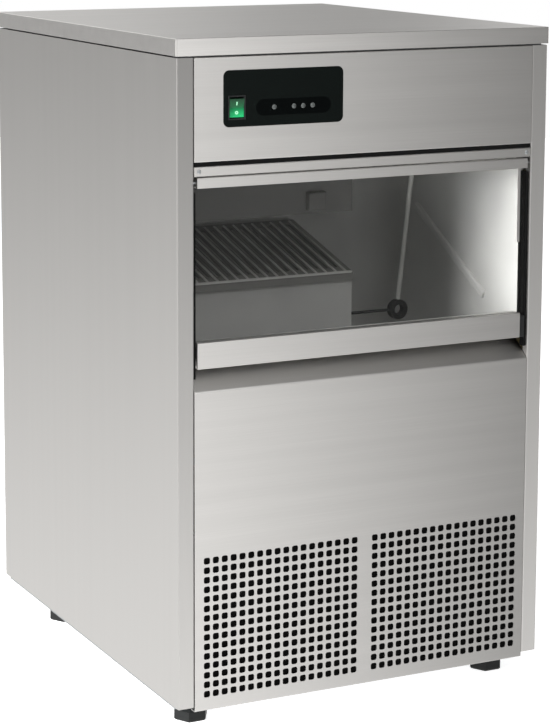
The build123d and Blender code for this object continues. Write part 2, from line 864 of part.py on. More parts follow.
shroud_y = condenser_y + condenser_depth + seat_gap
with BuildPart() as fan_shroud:
    block(x0, x0 + condenser_width, shroud_y, shroud_y + shroud_depth, part_floor,
          part_floor + condenser_height)
    block(x0 + sheet, x0 + condenser_width - sheet, shroud_y + sheet, shroud_y + shroud_depth,
          part_floor + sheet, part_floor + condenser_height - sheet, mode=Mode.SUBTRACT)
    with BuildSketch(Plane.XZ.offset(-shroud_y)):
        with Locations((condenser_centre, fan_z)):
            Circle(fan_opening)
    extrude(amount=-shroud_depth, mode=Mode.SUBTRACT)

fan_plane = Plane(origin=(condenser_centre, fan_y, fan_z), x_dir=(1, 0, 0), z_dir=(0, 1, 0))
with BuildPart(fan_plane) as fan_blade:
    with PolarLocations(fan_radius / 2 + fan_hub_radius / 4, fan_blades):
        Box(fan_radius, fan_radius * 0.6, blade_thickness, rotation=(fan_tilt, 0, 0))
    Cylinder(fan_radius, fan_width, mode=Mode.INTERSECT)
    Cylinder(fan_hub_radius, fan_width - 2)
    Cylinder(shaft_radius + pin_clearance, fan_width, mode=Mode.SUBTRACT)

with BuildPart() as fan_motor:
    with BuildSketch(Plane.XZ.offset(-motor_front)):
        with Locations((condenser_centre, fan_z)):
            Circle(motor_radius)
    extrude(amount=-motor_length)
    chamfer(fan_motor.edges().group_by(Axis.Y)[-1], length=motor_chamfer)
    with BuildSketch(Plane.XZ.offset(-motor_front)):
        with Locations((condenser_centre, fan_z)):
            Circle(shaft_radius)
    extrude(amount=fan_width)

with BuildPart() as fan_bracket:
    cradle = motor_radius + seat_gap
    x_low, x_high = condenser_centre - bracket_span, condenser_centre + bracket_span
    y_low = motor_front + motor_length / 4
    y_high = y_low + motor_length / 2
    block(x_low, x_high, y_low, y_high, part_floor, fan_z)
    with BuildSketch(Plane.XZ.offset(-y_low)):
        with Locations((condenser_centre, fan_z)):
            Circle(cradle)
        with Locations((condenser_centre, (part_floor + fan_z - cradle) / 2)):
            Rectangle(2 * bracket_span - 4 * bracket_thickness, fan_z - cradle - part_floor
                      - 2 * bracket_thickness)
    extrude(amount=-motor_length / 2, mode=Mode.SUBTRACT)

with BuildPart() as filter_drier:
    with BuildSketch(Plane.XY.offset(base + drier_low)):
        with Locations((drier_x, drier_y)):
            Circle(drier_radius)
    extrude(amount=drier_height)
    drier_ends = filter_drier.edges().group_by(Axis.Z)
    chamfer(drier_ends[0] + drier_ends[-1], drier_neck)

pipe_z = base + pipe_level
liquid_z = pipe_z - pipe_drop
compressor_top = compressor_foot + compressor_height + seat_gap
condenser_top = part_floor + condenser_height + seat_gap
condenser_middle = condenser_y + condenser_depth / 2
with BuildPart() as refrigerant_pipes:
    discharge_x = condenser_centre + discharge_offset
    suction_x = compressor_x - suction_offset
    runs = [
        [
            (compressor_x, compressor_y, compressor_top),
            (compressor_x, compressor_y, pipe_z),
            (discharge_x, compressor_y, pipe_z),
            (discharge_x, condenser_middle, pipe_z),
            (discharge_x, condenser_middle, condenser_top),
        ],
        [
            (drier_x, condenser_middle, condenser_top),
            (drier_x, condenser_middle, liquid_z),
            (drier_x, drier_y, liquid_z),
            (drier_x, drier_y, base + drier_low + drier_height + seat_gap),
        ],
        [
            (suction_x, compressor_y, compressor_top),
            (suction_x, compressor_y, plate_z),
            (suction_x, foam_back + seat_gap, plate_z),
        ],
    ]
    for run in runs:
        with BuildLine():
            pipe_path = FilletPolyline(*run, radius=pipe_bend)
        with BuildSketch(Plane(origin=pipe_path @ 0, z_dir=pipe_path % 0)):
            Circle(pipe_radius)
        sweep(path=pipe_path)

with BuildPart() as water_pump:
    pump_place = (width / 2 - pump_from_right, rear_plane - pump_from_back)
    with BuildSketch(Plane.XY.offset(part_floor)):
        with Locations(pump_place):
            Rectangle(2 * pump_radius, 2 * pump_radius)
    extrude(amount=pump_foot)
    with BuildSketch(Plane.XY.offset(part_floor)):
        with Locations(pump_place):
            Circle(pump_radius - pump_step)
    extrude(amount=pump_height)

with BuildPart() as electrical_box:
    with BuildSketch(Plane.XY.offset(part_floor)):
        with Locations((width / 2 - box_from_right, rear_plane - box_from_back)):
            RectangleRounded(box_size[0], box_size[1], box_corner)
    extrude(amount=box_size[2])

# Rear connections

with BuildPart() as water_inlet_valve:
    valve_front = rear_plane - sheet - seat_gap
    block(inlet_x - inlet_body[0] / 2, inlet_x + inlet_body[0] / 2, valve_front - inlet_body[1],
          valve_front, inlet_z - inlet_body[2] / 2, inlet_z + inlet_body[2] / 2)
    with BuildSketch(Plane.XZ.offset(-valve_front)):
        with Locations((inlet_x, inlet_z)):
            Circle(inlet_neck)
    extrude(amount=-(spigot_start - valve_front))
    with BuildSketch(Plane.XZ.offset(-spigot_start)):
        with Locations((inlet_x, inlet_z)):
            Circle(inlet_radius)
            Circle(inlet_bore, mode=Mode.SUBTRACT)
    extrude(amount=-(rear - spigot_start))

with BuildPart() as drain_pipe:
    with BuildLine():
        drain_path = FilletPolyline(
            (drain_x, bin_drain_y, liner_low - seat_gap),
            (drain_x, bin_drain_y, drain_z),
            (drain_x, spigot_start, drain_z),
            radius=drain_bend,
        )
    with BuildSketch(Plane(origin=drain_path @ 0, z_dir=drain_path % 0)):
        Circle(drain_pipe_radius)
    sweep(path=drain_path)
    with BuildSketch(Plane.XZ.offset(-spigot_start)):
        with Locations((drain_x, drain_z)):
            Circle(drain_radius)
    extrude(amount=-(rear - spigot_start))
    with BuildSketch(Plane.XZ.offset(-rear)):
        with Locations((drain_x, drain_z)):
            Circle(drain_bore)
    extrude(amount=rear - spigot_start, mode=Mode.SUBTRACT)

with BuildPart() as power_socket:
    socket_back = rear_plane + socket_rim
    block(socket_x - socket_size[0] / 2, socket_x + socket_size[0] / 2,
          socket_back - socket_depth, socket_back, socket_z - socket_size[1] / 2,
          socket_z + socket_size[1] / 2)
    block(socket_x - socket_size[0] / 2 + socket_wall, socket_x + socket_size[0] / 2 - socket_wall,
          socket_back - socket_depth + socket_floor, socket_back,
          socket_z - socket_size[1] / 2 + socket_wall, socket_z + socket_size[1] / 2 - socket_wall,
          mode=Mode.SUBTRACT)

with BuildPart() as rear_screws:
    with BuildSketch(Plane.XZ.offset(-rear_plane - seat_gap / 2)):
        with Locations((0, base + body_height / 2)):
            with GridLocations(2 * screw_x, screw_pitch_z, 2, 3):
                RegularPolygon(screw_across / 2, 6, major_radius=False)
    extrude(amount=-screw_head)

# Levelling feet: a wrench pad on a screw, against the nut under the pan

foot_parts = {}
for foot_name, (foot_x, foot_y) in foot_centres.items():
    with BuildPart() as foot:
        with BuildSketch():
            with Locations((foot_x, foot_y)):
                RegularPolygon(foot_across / 2, 6, major_radius=False)
        extrude(amount=foot_pad)
        chamfer(foot.edges().group_by(Axis.Z)[0], length=foot_chamfer)
        with BuildSketch(Plane.XY.offset(foot_pad)):
            with Locations((foot_x, foot_y)):
                Circle(stem_radius)
        extrude(amount=stem_length)
    foot_parts[foot_name] = foot

with BuildPart() as foot_nuts:
    with BuildSketch(Plane.XY.offset(foot_pad + seat_gap)):
        with Locations(*foot_centres.values()):
            RegularPolygon(nut_across / 2, 6, major_radius=False)
            Circle(stem_radius + pin_clearance, mode=Mode.SUBTRACT)
    extrude(amount=base - foot_pad - 2 * seat_gap)

pieces = {
    "base_pan": base_pan,
    "left_side_panel": left_side_panel,
    "right_side_panel": right_side_panel,
    "rear_panel": rear_panel,
    "top_cover": top_cover,
    "top_front_rail": top_front_rail,
    "top_rear_rail": top_rear_rail,
    "lower_front_panel": lower_front_panel,
    "header_strip": header_strip,
    "control_fascia": control_fascia,
    "display_plate": display_plate,
    "switch_bezel": switch_bezel,
    "switch_rocker": switch_rocker,
    "led_lenses": led_lenses,
    "control_board": control_board,
    "bin_liner": bin_liner,
    "bin_foam": bin_foam,
    "door_seal": door_seal,
    "evaporator_shroud": evaporator_shroud,
    "evaporator": evaporator,
    "water_tank": water_tank,
    "spray_bar": spray_bar,
    "ice_slide": ice_slide,
    "sensor_box": sensor_box,
    "probe_ring": probe_ring,
    "probe_rod": probe_rod,
    "probe_tube": probe_tube,
    "door_pane": door_pane,
    "door_top_rail": door_top_rail,
    "door_bottom_rail": door_bottom_rail,
    "door_end_block": door_end_block,
    "hinge_pins": hinge_pins,
    "hinge_brackets": hinge_brackets,
    "compressor": compressor,
    "compressor_grommets": compressor_grommets,
    "condenser": condenser,
    "fan_shroud": fan_shroud,
    "fan_blade": fan_blade,
    "fan_motor": fan_motor,
    "fan_bracket": fan_bracket,
    "filter_drier": filter_drier,
    "refrigerant_pipes": refrigerant_pipes,
    "water_pump": water_pump,
    "electrical_box": electrical_box,
    "water_inlet_valve": water_inlet_valve,
    "drain_pipe": drain_pipe,
    "power_socket": power_socket,
    "rear_screws": rear_screws,
    **foot_parts,
    "foot_nuts": foot_nuts,
}

os.makedirs("parts", exist_ok=True)
for name, piece in pieces.items():
    piece.part.label = name
    export_step(piece.part, f"parts/{name}.step")
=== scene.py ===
"""Ice cube machine: surface finishes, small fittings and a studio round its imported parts.

Laid out as an add-on: each operator dresses one part of the machine, and the panel in the
sidebar lists them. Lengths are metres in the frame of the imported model.
"""
from math import atan2, cos, pi, radians, sin

import bmesh
import bpy
from mathutils import Matrix, Vector


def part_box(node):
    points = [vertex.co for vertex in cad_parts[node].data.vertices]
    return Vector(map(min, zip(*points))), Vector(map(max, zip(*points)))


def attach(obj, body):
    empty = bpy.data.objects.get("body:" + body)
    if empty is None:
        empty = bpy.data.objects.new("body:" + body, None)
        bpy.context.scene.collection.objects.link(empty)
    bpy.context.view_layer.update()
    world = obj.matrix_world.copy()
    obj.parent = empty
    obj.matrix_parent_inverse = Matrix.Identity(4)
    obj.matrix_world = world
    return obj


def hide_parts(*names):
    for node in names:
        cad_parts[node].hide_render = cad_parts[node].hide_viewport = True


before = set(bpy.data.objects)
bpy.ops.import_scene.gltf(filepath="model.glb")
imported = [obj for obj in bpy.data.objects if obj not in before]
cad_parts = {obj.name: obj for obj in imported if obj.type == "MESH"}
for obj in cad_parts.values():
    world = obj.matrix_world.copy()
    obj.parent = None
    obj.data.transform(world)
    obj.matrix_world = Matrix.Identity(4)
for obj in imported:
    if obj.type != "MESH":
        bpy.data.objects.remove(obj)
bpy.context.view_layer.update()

bl_info = {
    "name": "Ice Cube Machine",
    "version": (1, 0, 0),
    "blender": (4, 5, 0),
    "location": "View3D > Sidebar > Ice Machine",
    "description": "Finishes, fittings and studio for an under-counter ice cube machine",
    "category": "Object",
}

MM = 0.001
TOUCH = 1e-6  # Two points or planes nearer than this are one.
FORWARD, BACKWARD = Vector((0, -1, 0)), Vector((0, 1, 0))  # Out of the front and the back.


def linear(colour):
    """Linear RGBA of an sRGB hex colour such as "#C8C8C6"."""
    values = [int(colour[i:i + 2], 16) / 255 for i in (1, 3, 5)]
    return [v / 12.92 if v <= 0.04045 else ((v + 0.055) / 1.055) ** 2.4 for v in values] + [1.0]


def colour_setting(name, description, sheen):
    """Colour property whose default is an sRGB hex colour."""
    return bpy.props.FloatVectorProperty(
        name=name, description=description, default=linear(sheen)[:3], subtype="COLOR",
        min=0.0, max=1.0,
    )


def length_setting(name, description, millimetres, precision=4):
    """Length property whose default is given in millimetres."""
    return bpy.props.FloatProperty(
        name=name, description=description, default=millimetres * MM, unit="LENGTH",
        precision=precision,
    )


class MachineFinishes(bpy.types.PropertyGroup):
    """Colours and grain of the machine's surfaces."""

    steel_colour: colour_setting("Stainless colour", "Colour of the brushed sheet", "#D3D1CE")
    steel_roughness: bpy.props.FloatProperty(
        name="Stainless roughness", description="Blur of the brushed sheet", default=0.32,
        min=0.0, max=1.0, subtype="FACTOR",
    )
    grain_width: length_setting("Grain width", "Width of one brushed line", 0.35, precision=5)
    liner_colour: colour_setting("Liner colour", "Colour of the moulded bin", "#B9B9B6")
    # The slats' grey is darkened as painted shade of the bin.
    slat_shaded_colour: colour_setting("Slat colour", "Colour of the slide's slats", "#7E7E7A")
    # The ribs' paler grey is a painted highlight on the same plastic as the slats.
    rib_highlight_colour: colour_setting("Rib colour", "Colour of the ribs on the slats", "#CCCCC8")
    shroud_colour: colour_setting("Shroud colour", "Colour of the ice maker's cover", "#5A5A57")
    fitting_colour: colour_setting("Fitting colour", "Colour of the tubes and valves", "#A9A9A5")
    trim_colour: colour_setting(
        "Trim colour", "Colour of the bezel, feet and door end", "#141515"
    )
    display_colour: colour_setting("Display colour", "Colour of the display plate", "#030605")
    window_colour: colour_setting("Window colour", "Colour behind the lamps", "#010202")
    lens_colour: colour_setting("Lens colour", "Colour of the unlit lamps", "#3C3F3E")
    mark_colour: colour_setting("Mark colour", "Colour of the marks on the rocker", "#8CCBA5")
    rocker_colour: colour_setting("Rocker colour", "Colour of the lit rocker", "#1C8F55")
    rocker_glow: bpy.props.FloatProperty(
        name="Rocker glow", description="Strength of the lamp in the rocker", default=0.30,
        min=0.0, max=5.0,
    )


class GrilleSettings(bpy.types.PropertyGroup):
    """Punched holes of the lower front panel."""

    pitch: length_setting("Pitch", "Distance between neighbouring holes", 11.6)
    side: length_setting("Hole side", "Side of one hole", 8.0)
    corner: length_setting("Hole corner", "Corner of one hole, cut back by the punch", 2.2)
    columns: bpy.props.IntProperty(
        name="Columns", description="Columns of holes in one grille", default=18, min=1
    )
    rows: bpy.props.IntProperty(
        name="Rows", description="Rows of holes in one grille", default=15, min=1
    )
    gap: length_setting("Gap", "Between the nearest holes of the two grilles", 28.0)
    first_row: length_setting("First row", "Lowest row above the panel's lower edge", 20.0)
    sheet: length_setting("Sheet", "Thickness of the sheet", 1.0)
    bend: length_setting("Bend", "Outer radius of a fold", 1.6)
    flange: length_setting("Flange", "Depth of the flanges folded back", 11.0)
    rise: length_setting("Recess rise", "Height of the finger recess's slope", 24.0)
    lip: length_setting("Recess lip", "Height of the upright lip behind the slope", 9.0)
    arc_steps: bpy.props.IntProperty(
        name="Corner steps", description="Straight steps round one corner of a hole",
        default=3, min=1,
    )


class MachineFittings(bpy.types.PropertyGroup):
    """Sizes of the small fittings."""

    screw_head: length_setting("Screw head", "Diameter of a panel screw's head", 7.6)
    header_screw: length_setting("Header screw", "Diameter of a screw in the header strip", 5.0)
    rear_screw_reach: length_setting(
        "Rear screws", "From the middle of the rear panel to a row of screws", 220.0
    )
    strip_length: length_setting(
        "Edge strip length", "Length of the strip down the pane's right edge", 92.0
    )
    strip_width: length_setting(
        "Edge strip width", "Width of the strip down the pane's right edge", 3.4
    )
    mark_height: length_setting("Switch mark", "Height of the on and off marks", 4.2)
    mark_stroke: length_setting("Mark stroke", "Width of a line of the marks", 1.344, precision=5)
    rocker_press: length_setting(
        "Rocker press", "From the rocker's upper edge back to its lower half", 2.4
    )
    lamp_places: bpy.props.FloatVectorProperty(
        name="Lamp places", description="From the leftmost lamp to each of the four",
        default=(0.0, 25.5 * MM, 37.5 * MM, 50.0 * MM), size=4, unit="LENGTH", precision=4,
    )
    dome_share: bpy.props.FloatProperty(
        name="Dome share", description="Width of a lamp's dome to that of its lens",
        default=1.2, min=0.1,
    )
    lens_rise: length_setting("Lens rise", "How far a lamp's dome stands up", 0.6, precision=5)
    window_margin: length_setting(
        "Window margin", "From the outer lamps to the ends of their window", 21.0
    )
    window_height: length_setting("Window height", "Height of the window behind the lamps", 19.0)
    window_rise: length_setting(
        "Window rise", "How far the window stands off the display", 0.15, precision=5
    )
    slat_pitch: length_setting(
        "Slat pitch", "Distance between neighbouring slats of the slide", 14.0
    )
    slat_count: bpy.props.IntProperty(
        name="Slats", description="Slats of the slide", default=22, min=1
    )
    slide_slope: bpy.props.FloatProperty(
        name="Slide slope", description="Slope of the slide towards the door",
        default=radians(15.0), subtype="ANGLE", unit="ROTATION",
    )
    rib_width: length_setting("Rib width", "Width of the rounded rib on each slat", 3.0)
    bead_width: length_setting("Bead width", "Width of the bead on the bin's right wall", 13.0)
    bead_low: bpy.props.FloatVectorProperty(
        name="Bead's low end", description="How far behind the front, and how high",
        default=(94.0 * MM, 476.0 * MM), size=2, unit="LENGTH", precision=4,
    )
    bead_high: bpy.props.FloatVectorProperty(
        name="Bead's high end", description="How far behind the front, and how high",
        default=(267.0 * MM, 570.0 * MM), size=2, unit="LENGTH", precision=4,
    )


class StudioSettings(bpy.types.PropertyGroup):
    """Camera and floor."""

    camera_place: bpy.props.FloatVectorProperty(
        name="Camera place", description="Where the camera stands",
        default=(-1.2968, -2.6060, 0.9976), subtype="TRANSLATION", unit="LENGTH",
    )
    camera_turn: bpy.props.FloatProperty(
        name="Camera turn", description="Turn from straight ahead towards the right",
        default=radians(25.36), subtype="ANGLE", unit="ROTATION",
    )
    camera_tilt: bpy.props.FloatProperty(
        name="Camera tilt", description="Tilt below level", default=radians(8.12),
        subtype="ANGLE", unit="ROTATION",
    )
    lens: bpy.props.FloatProperty(
        name="Lens", description="Focal length in millimetres on a 36 mm frame", default=111.8,
        subtype="DISTANCE_CAMERA",
    )
    shift: bpy.props.FloatVectorProperty(
        name="Shift", description="Shift of the frame", default=(0.0826, -0.2204), size=2,
    )
    floor_colour: colour_setting("Floor colour", "Colour of the floor", "#FFFFFF")


# Materials


def add_node(tree, kind, links=None, **settings):
    """Add a node with its settings, its input values and its links, and return it."""
    node = tree.nodes.new(kind)
    inputs = settings.pop("inputs", {})
    for name, value in settings.items():
        setattr(node, name, value)
    for name, value in inputs.items():
        node.inputs[name].default_value = value
    for name, source in (links or {}).items():
        tree.links.new(source, node.inputs[name])
    return node


def new_material(name):
    """A material with its shader and output, and the shader's own values still to set."""
    material = bpy.data.materials.new(name)
    material.use_nodes = True
    tree = material.node_tree
    tree.nodes.clear()
    shader = add_node(tree, "ShaderNodeBsdfPrincipled")
    add_node(tree, "ShaderNodeOutputMaterial", {"Surface": shader.outputs["BSDF"]})
    place = add_node(tree, "ShaderNodeTexCoord").outputs["Object"]
    return material, tree, shader, place


def colour_ramp(tree, factor, stops):
    """Ramp with its stops as (place, linear colour): both ends, then those between."""
    ramp = add_node(tree, "ShaderNodeValToRGB", {"Fac": factor})
    elements = ramp.color_ramp.elements
    for element, (place, colour) in zip(elements, stops):
        element.position = place
        element.color = colour
    for place, colour in stops[2:]:
        elements.new(place).color = colour
    return ramp.outputs["Color"]


def smooth_step(tree, value, start, end):
    """Smooth change from one (value, result) pair to another."""
    return add_node(
        tree, "ShaderNodeMapRange", {"Value": value}, interpolation_type="SMOOTHSTEP",
        inputs={"From Min": start[0], "From Max": end[0], "To Min": start[1], "To Max": end[1]},
    ).outputs["Result"]


def product(tree, first, *others):
    """Product of several values."""
    for other in others:
        first = add_node(
            tree, "ShaderNodeMath", {0: first, 1: other}, operation="MULTIPLY"
        ).outputs["Value"]
    return first


def shade(colour, factor):
    """An opaque colour made lighter or darker, or kept by a factor of 1."""
    return [min(1.0, c * factor) for c in colour[:3]] + [1.0]


def streaks(tree, place, along, across, length, detail):
    """Noise drawn out along X or Z, with its two scales and its detail."""
    scale = {"X": (length, across, across), "Z": (across, across, length)}[along]
    stretched = add_node(
        tree, "ShaderNodeMapping", {"Vector": place}, inputs={"Scale": scale}
    ).outputs["Vector"]
    return add_node(
        tree, "ShaderNodeTexNoise", {"Vector": stretched},
        inputs={"Scale": 1.0, "Detail": detail},
    ).outputs["Fac"]


def brushed_stainless(name, along, painted_light_tint, contrast):
    """Stainless sheet, grade 304, belt brushed to a satin finish.

    The belt leaves fine lines that all run one way. They stretch reflections across the
    grain, so a face shows a soft gradient with hair lines in it and never a sharp image.
    """
    settings = bpy.context.scene.machine_finishes
    # The tint factor makes lit and shaded copies of the one steel: below 1 it is painted shade,
    # as on the front panels, and above 1 painted light, as on the lid.
    steel = shade(settings.steel_colour, painted_light_tint)
    material, tree, shader, place = new_material(name)
    line = settings.grain_width
    # A line is drawn about twice as wide as the belt's, so that it shows in the render, and
    # 300 of its widths long. The passes of the belt leave bands some 17 mm wide besides.
    lines = streaks(tree, place, along, 1 / (2 * line), 1 / (300 * line), 4.0)
    bands = streaks(tree, place, along, 60.0, 0.8, 2.0)
    tone = colour_ramp(
        tree, product(tree, lines, bands), [(0.12, shade(steel, 1 - contrast)), (0.40, steel)]
    )
    tree.links.new(tone, shader.inputs["Base Color"])
    rough = add_node(
        tree, "ShaderNodeMapRange", {"Value": lines},
        inputs={
            "From Min": 0.3, "From Max": 0.7,
            "To Min": settings.steel_roughness - 0.02, "To Max": settings.steel_roughness + 0.03,
        },
    ).outputs["Result"]
    tree.links.new(rough, shader.inputs["Roughness"])
    bump = add_node(
        tree, "ShaderNodeBump", {"Height": lines},
        inputs={"Strength": 0.05, "Distance": 0.02 * MM},
    ).outputs["Normal"]
    tree.links.new(bump, shader.inputs["Normal"])
    grain = {"X": (1.0, 0.0, 0.0), "Z": (0.0, 0.0, 1.0)}[along]
    direction = add_node(
        tree, "ShaderNodeCombineXYZ", inputs={"X": grain[0], "Y": grain[1], "Z": grain[2]}
    ).outputs["Vector"]
    turned = add_node(
        tree, "ShaderNodeVectorTransform", {"Vector": direction}, vector_type="VECTOR",
        convert_from="OBJECT", convert_to="WORLD",
    ).outputs["Vector"]
    tree.links.new(turned, shader.inputs["Tangent"])
    shader.inputs["Metallic"].default_value = 1.0
    shader.inputs["Anisotropic"].default_value = 0.95
    shader.inputs["Anisotropic Rotation"].default_value = 0.25
    return material


def galvanised_steel():
    """Hot-dip galvanised sheet: dull zinc with faint crystals 5 to 10 mm across."""
    material, tree, shader, place = new_material("galvanised_sheet")
    crystals = add_node(
        tree, "ShaderNodeTexVoronoi", {"Vector": place}, inputs={"Scale": 1 / (7 * MM)}
    ).outputs["Color"]
    grey = add_node(tree, "ShaderNodeRGBToBW", {"Color": crystals}).outputs["Val"]
    tone = colour_ramp(tree, grey, [(0.1, linear("#A7ABAD")), (0.9, linear("#C3C6C7"))])
    tree.links.new(tone, shader.inputs["Base Color"])
    rough = add_node(
        tree, "ShaderNodeMapRange", {"Value": grey}, inputs={"To Min": 0.38, "To Max": 0.52}
    ).outputs["Result"]
    tree.links.new(rough, shader.inputs["Roughness"])
    shader.inputs["Metallic"].default_value = 1.0
    return material


def moulded_plastic(
    name, colour, roughness, grain=0.6 * MM, depth=0.02 * MM, spread=0.06, coat=0.0, specular=0.5
):
    """Injection-moulded plastic, with the width and depth of its spark-eroded grain.

    It has an even colour, faintly cloudy over some 70 mm from the flow of the melt. Its grain
    breaks up the edges of highlights.
    """
    material, tree, shader, place = new_material(name)
    cloud = add_node(
        tree, "ShaderNodeTexNoise", {"Vector": place}, inputs={"Scale": 14.0, "Detail": 3.0}
    ).outputs["Fac"]
    tone = colour_ramp(
        tree, cloud, [(0.3, shade(colour, 1 - spread)), (0.7, shade(colour, 1 + spread))]
    )
    tree.links.new(tone, shader.inputs["Base Color"])
    pits = add_node(
        tree, "ShaderNodeTexNoise", {"Vector": place}, inputs={"Scale": 1 / grain, "Detail": 2.0}
    ).outputs["Fac"]
    rough = add_node(
        tree, "ShaderNodeMapRange", {"Value": pits},
        inputs={"To Min": roughness - 0.05, "To Max": roughness + 0.05},
    ).outputs["Result"]
    tree.links.new(rough, shader.inputs["Roughness"])
    bump = add_node(
        tree, "ShaderNodeBump", {"Height": pits}, inputs={"Strength": 0.25, "Distance": depth}
    ).outputs["Normal"]
    tree.links.new(bump, shader.inputs["Normal"])
    shader.inputs["IOR"].default_value = 1.5
    shader.inputs["Coat Weight"].default_value = coat
    shader.inputs["Specular IOR Level"].default_value = specular
    return material


def lit_rocker():
    """Clear green polycarbonate over a neon lamp.

    The lamp sits low down in the rocker, so the green glows there and falls off upwards.
    """
    settings = bpy.context.scene.machine_finishes
    low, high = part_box("switch_rocker")
    material, tree, shader, place = new_material("lit_polycarbonate")
    green = settings.rocker_colour
    height = add_node(tree, "ShaderNodeSeparateXYZ", {"Vector": place}).outputs["Z"]
    level = add_node(
        tree, "ShaderNodeMapRange", {"Value": height},
        inputs={"From Min": low.z, "From Max": high.z},
    ).outputs["Result"]
    falloff = ((0.0, 1.0), (1.0, 0.06), (0.22, 0.75), (0.55, 0.22))
    tone = colour_ramp(tree, level, [(rise, shade(green, light)) for rise, light in falloff])
    tree.links.new(tone, shader.inputs["Base Color"])
    tree.links.new(tone, shader.inputs["Emission Color"])
    shader.inputs["Emission Strength"].default_value = settings.rocker_glow
    shader.inputs["Roughness"].default_value = 0.18
    shader.inputs["Specular IOR Level"].default_value = 0.2
    shader.inputs["IOR"].default_value = 1.58
    return material


def clear_pane():
    """Clear polycarbonate sheet, extruded: colourless and thin.

    The bin shows through it a little veiled, and wipe marks across it blur its gloss.
    """
    material, tree, shader, place = new_material("clear_polycarbonate")
    # The marks run across the pane, some 28 mm apart.
    wipes = add_node(
        tree, "ShaderNodeMapping", {"Vector": place}, inputs={"Scale": (3.0, 3.0, 18.0)}
    ).outputs["Vector"]
    haze = add_node(
        tree, "ShaderNodeTexNoise", {"Vector": wipes}, inputs={"Scale": 2.0, "Detail": 5.0}
    ).outputs["Fac"]
    rough = add_node(
        tree, "ShaderNodeMapRange", {"Value": haze},
        inputs={"From Min": 0.35, "From Max": 0.7, "To Min": 0.02, "To Max": 0.08},
    ).outputs["Result"]
    tree.links.new(rough, shader.inputs["Roughness"])
    shader.inputs["Base Color"].default_value = linear("#1C1C1B")
    shader.inputs["IOR"].default_value = 1.58
    shader.inputs["Alpha"].default_value = 0.12
    return material


def drawn_metal(name, colour, roughness, spread):
    """Plain drawn or rolled metal, darkened by a little tarnish in patches some 17 mm wide."""
    material, tree, shader, place = new_material(name)
    base = linear(colour)
    marks = add_node(
        tree, "ShaderNodeTexNoise", {"Vector": place}, inputs={"Scale": 60.0, "Detail": 6.0}
    ).outputs["Fac"]
    tone = colour_ramp(tree, marks, [(0.3, shade(base, 1 - spread)), (0.7, base)])
    tree.links.new(tone, shader.inputs["Base Color"])
    rough = add_node(
        tree, "ShaderNodeMapRange", {"Value": marks},
        inputs={"To Min": roughness - 0.08, "To Max": roughness + 0.1},
    ).outputs["Result"]
    tree.links.new(rough, shader.inputs["Roughness"])
    shader.inputs["Metallic"].default_value = 1.0
    return material


def poured_foam():
    """Poured polyurethane foam: matt cream, with small cells that speckle it."""
    material, tree, shader, place = new_material("polyurethane_foam")
    cells = add_node(
        tree, "ShaderNodeTexVoronoi", {"Vector": place}, inputs={"Scale": 1 / (3 * MM)}
    ).outputs["Distance"]
    tone = colour_ramp(tree, cells, [(0.0, linear("#B9A878")), (0.7, linear("#E0D3A8"))])
    tree.links.new(tone, shader.inputs["Base Color"])
    bump = add_node(
        tree, "ShaderNodeBump", {"Height": cells}, inputs={"Strength": 0.6, "Distance": 0.5 * MM}
    ).outputs["Normal"]
    tree.links.new(bump, shader.inputs["Normal"])
    shader.inputs["Roughness"].default_value = 0.9
    return material


def paint(nodes, material):
    """Give CAD nodes one finish."""
    for name in nodes:
        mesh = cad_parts[name].data
        mesh.materials.clear()
        mesh.materials.append(material)


# Small pieces


def piece_from(bm, name, material, body):
    """Turn a bmesh into a piece that rides on a body."""
    bmesh.ops.recalc_face_normals(bm, faces=bm.faces)
    mesh = bpy.data.meshes.new(name)
    bm.to_mesh(mesh)
    bm.free()
    mesh.materials.append(material)
    piece = bpy.data.objects.new(name, mesh)
    bpy.context.scene.collection.objects.link(piece)
    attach(piece, body)
    return piece


def turned_about(centre, facing):
    """Placing matrix whose own +Z points along facing."""
    return Matrix.Translation(centre) @ facing.to_track_quat("Z", "Y").to_matrix().to_4x4()


def add_shape(bm, shape, matrix):
    """Join a shape into a bmesh, placed by a matrix."""
    mesh = bpy.data.meshes.new("shape")
    shape.transform(matrix)
    shape.to_mesh(mesh)
    shape.free()
    bm.from_mesh(mesh)
    bpy.data.meshes.remove(mesh)


def raised(bm, face, height, scale):
    """Extrude a face along +Z, scale its new end about the axis and return that end."""
    new = bmesh.ops.extrude_face_region(bm, geom=[face])["geom"]
    verts = [g for g in new if isinstance(g, bmesh.types.BMVert)]
    bmesh.ops.translate(bm, verts=verts, vec=(0, 0, height))
    bmesh.ops.scale(bm, verts=verts, vec=(scale, scale, 1))
    return [g for g in new if isinstance(g, bmesh.types.BMFace)][0]


def screw_head(diameter, rise):
    """Pan head standing on the XY plane, with a cross recess."""
    shape = bmesh.new()
    bmesh.ops.create_circle(shape, cap_ends=True, segments=32, radius=diameter / 2)
    face = shape.faces[:][0]
    if face.normal.z < 0:
        face.normal_flip()
    # A straight rim and two steps of the dome: share of the rise, and width to that below.
    for share, width in ((0.5, 1.0), (0.35, 0.82), (0.15, 0.80)):
        face = raised(shape, face, share * rise, width)
    # The recess has four arms, each three points wide at its tip.
    arm, root, depth, arm_spread = 0.26 * diameter, 0.09 * diameter, 0.45 * rise, 0.45
    bmesh.ops.inset_region(shape, faces=[face], thickness=0.04 * diameter)
    for vert in face.verts:
        angle = atan2(vert.co.y, vert.co.x)
        reach = arm if abs(sin(2 * angle)) < arm_spread else root
        vert.co.x, vert.co.y = reach * cos(angle), reach * sin(angle)
    raised(shape, face, -depth, 0.9)
    return shape


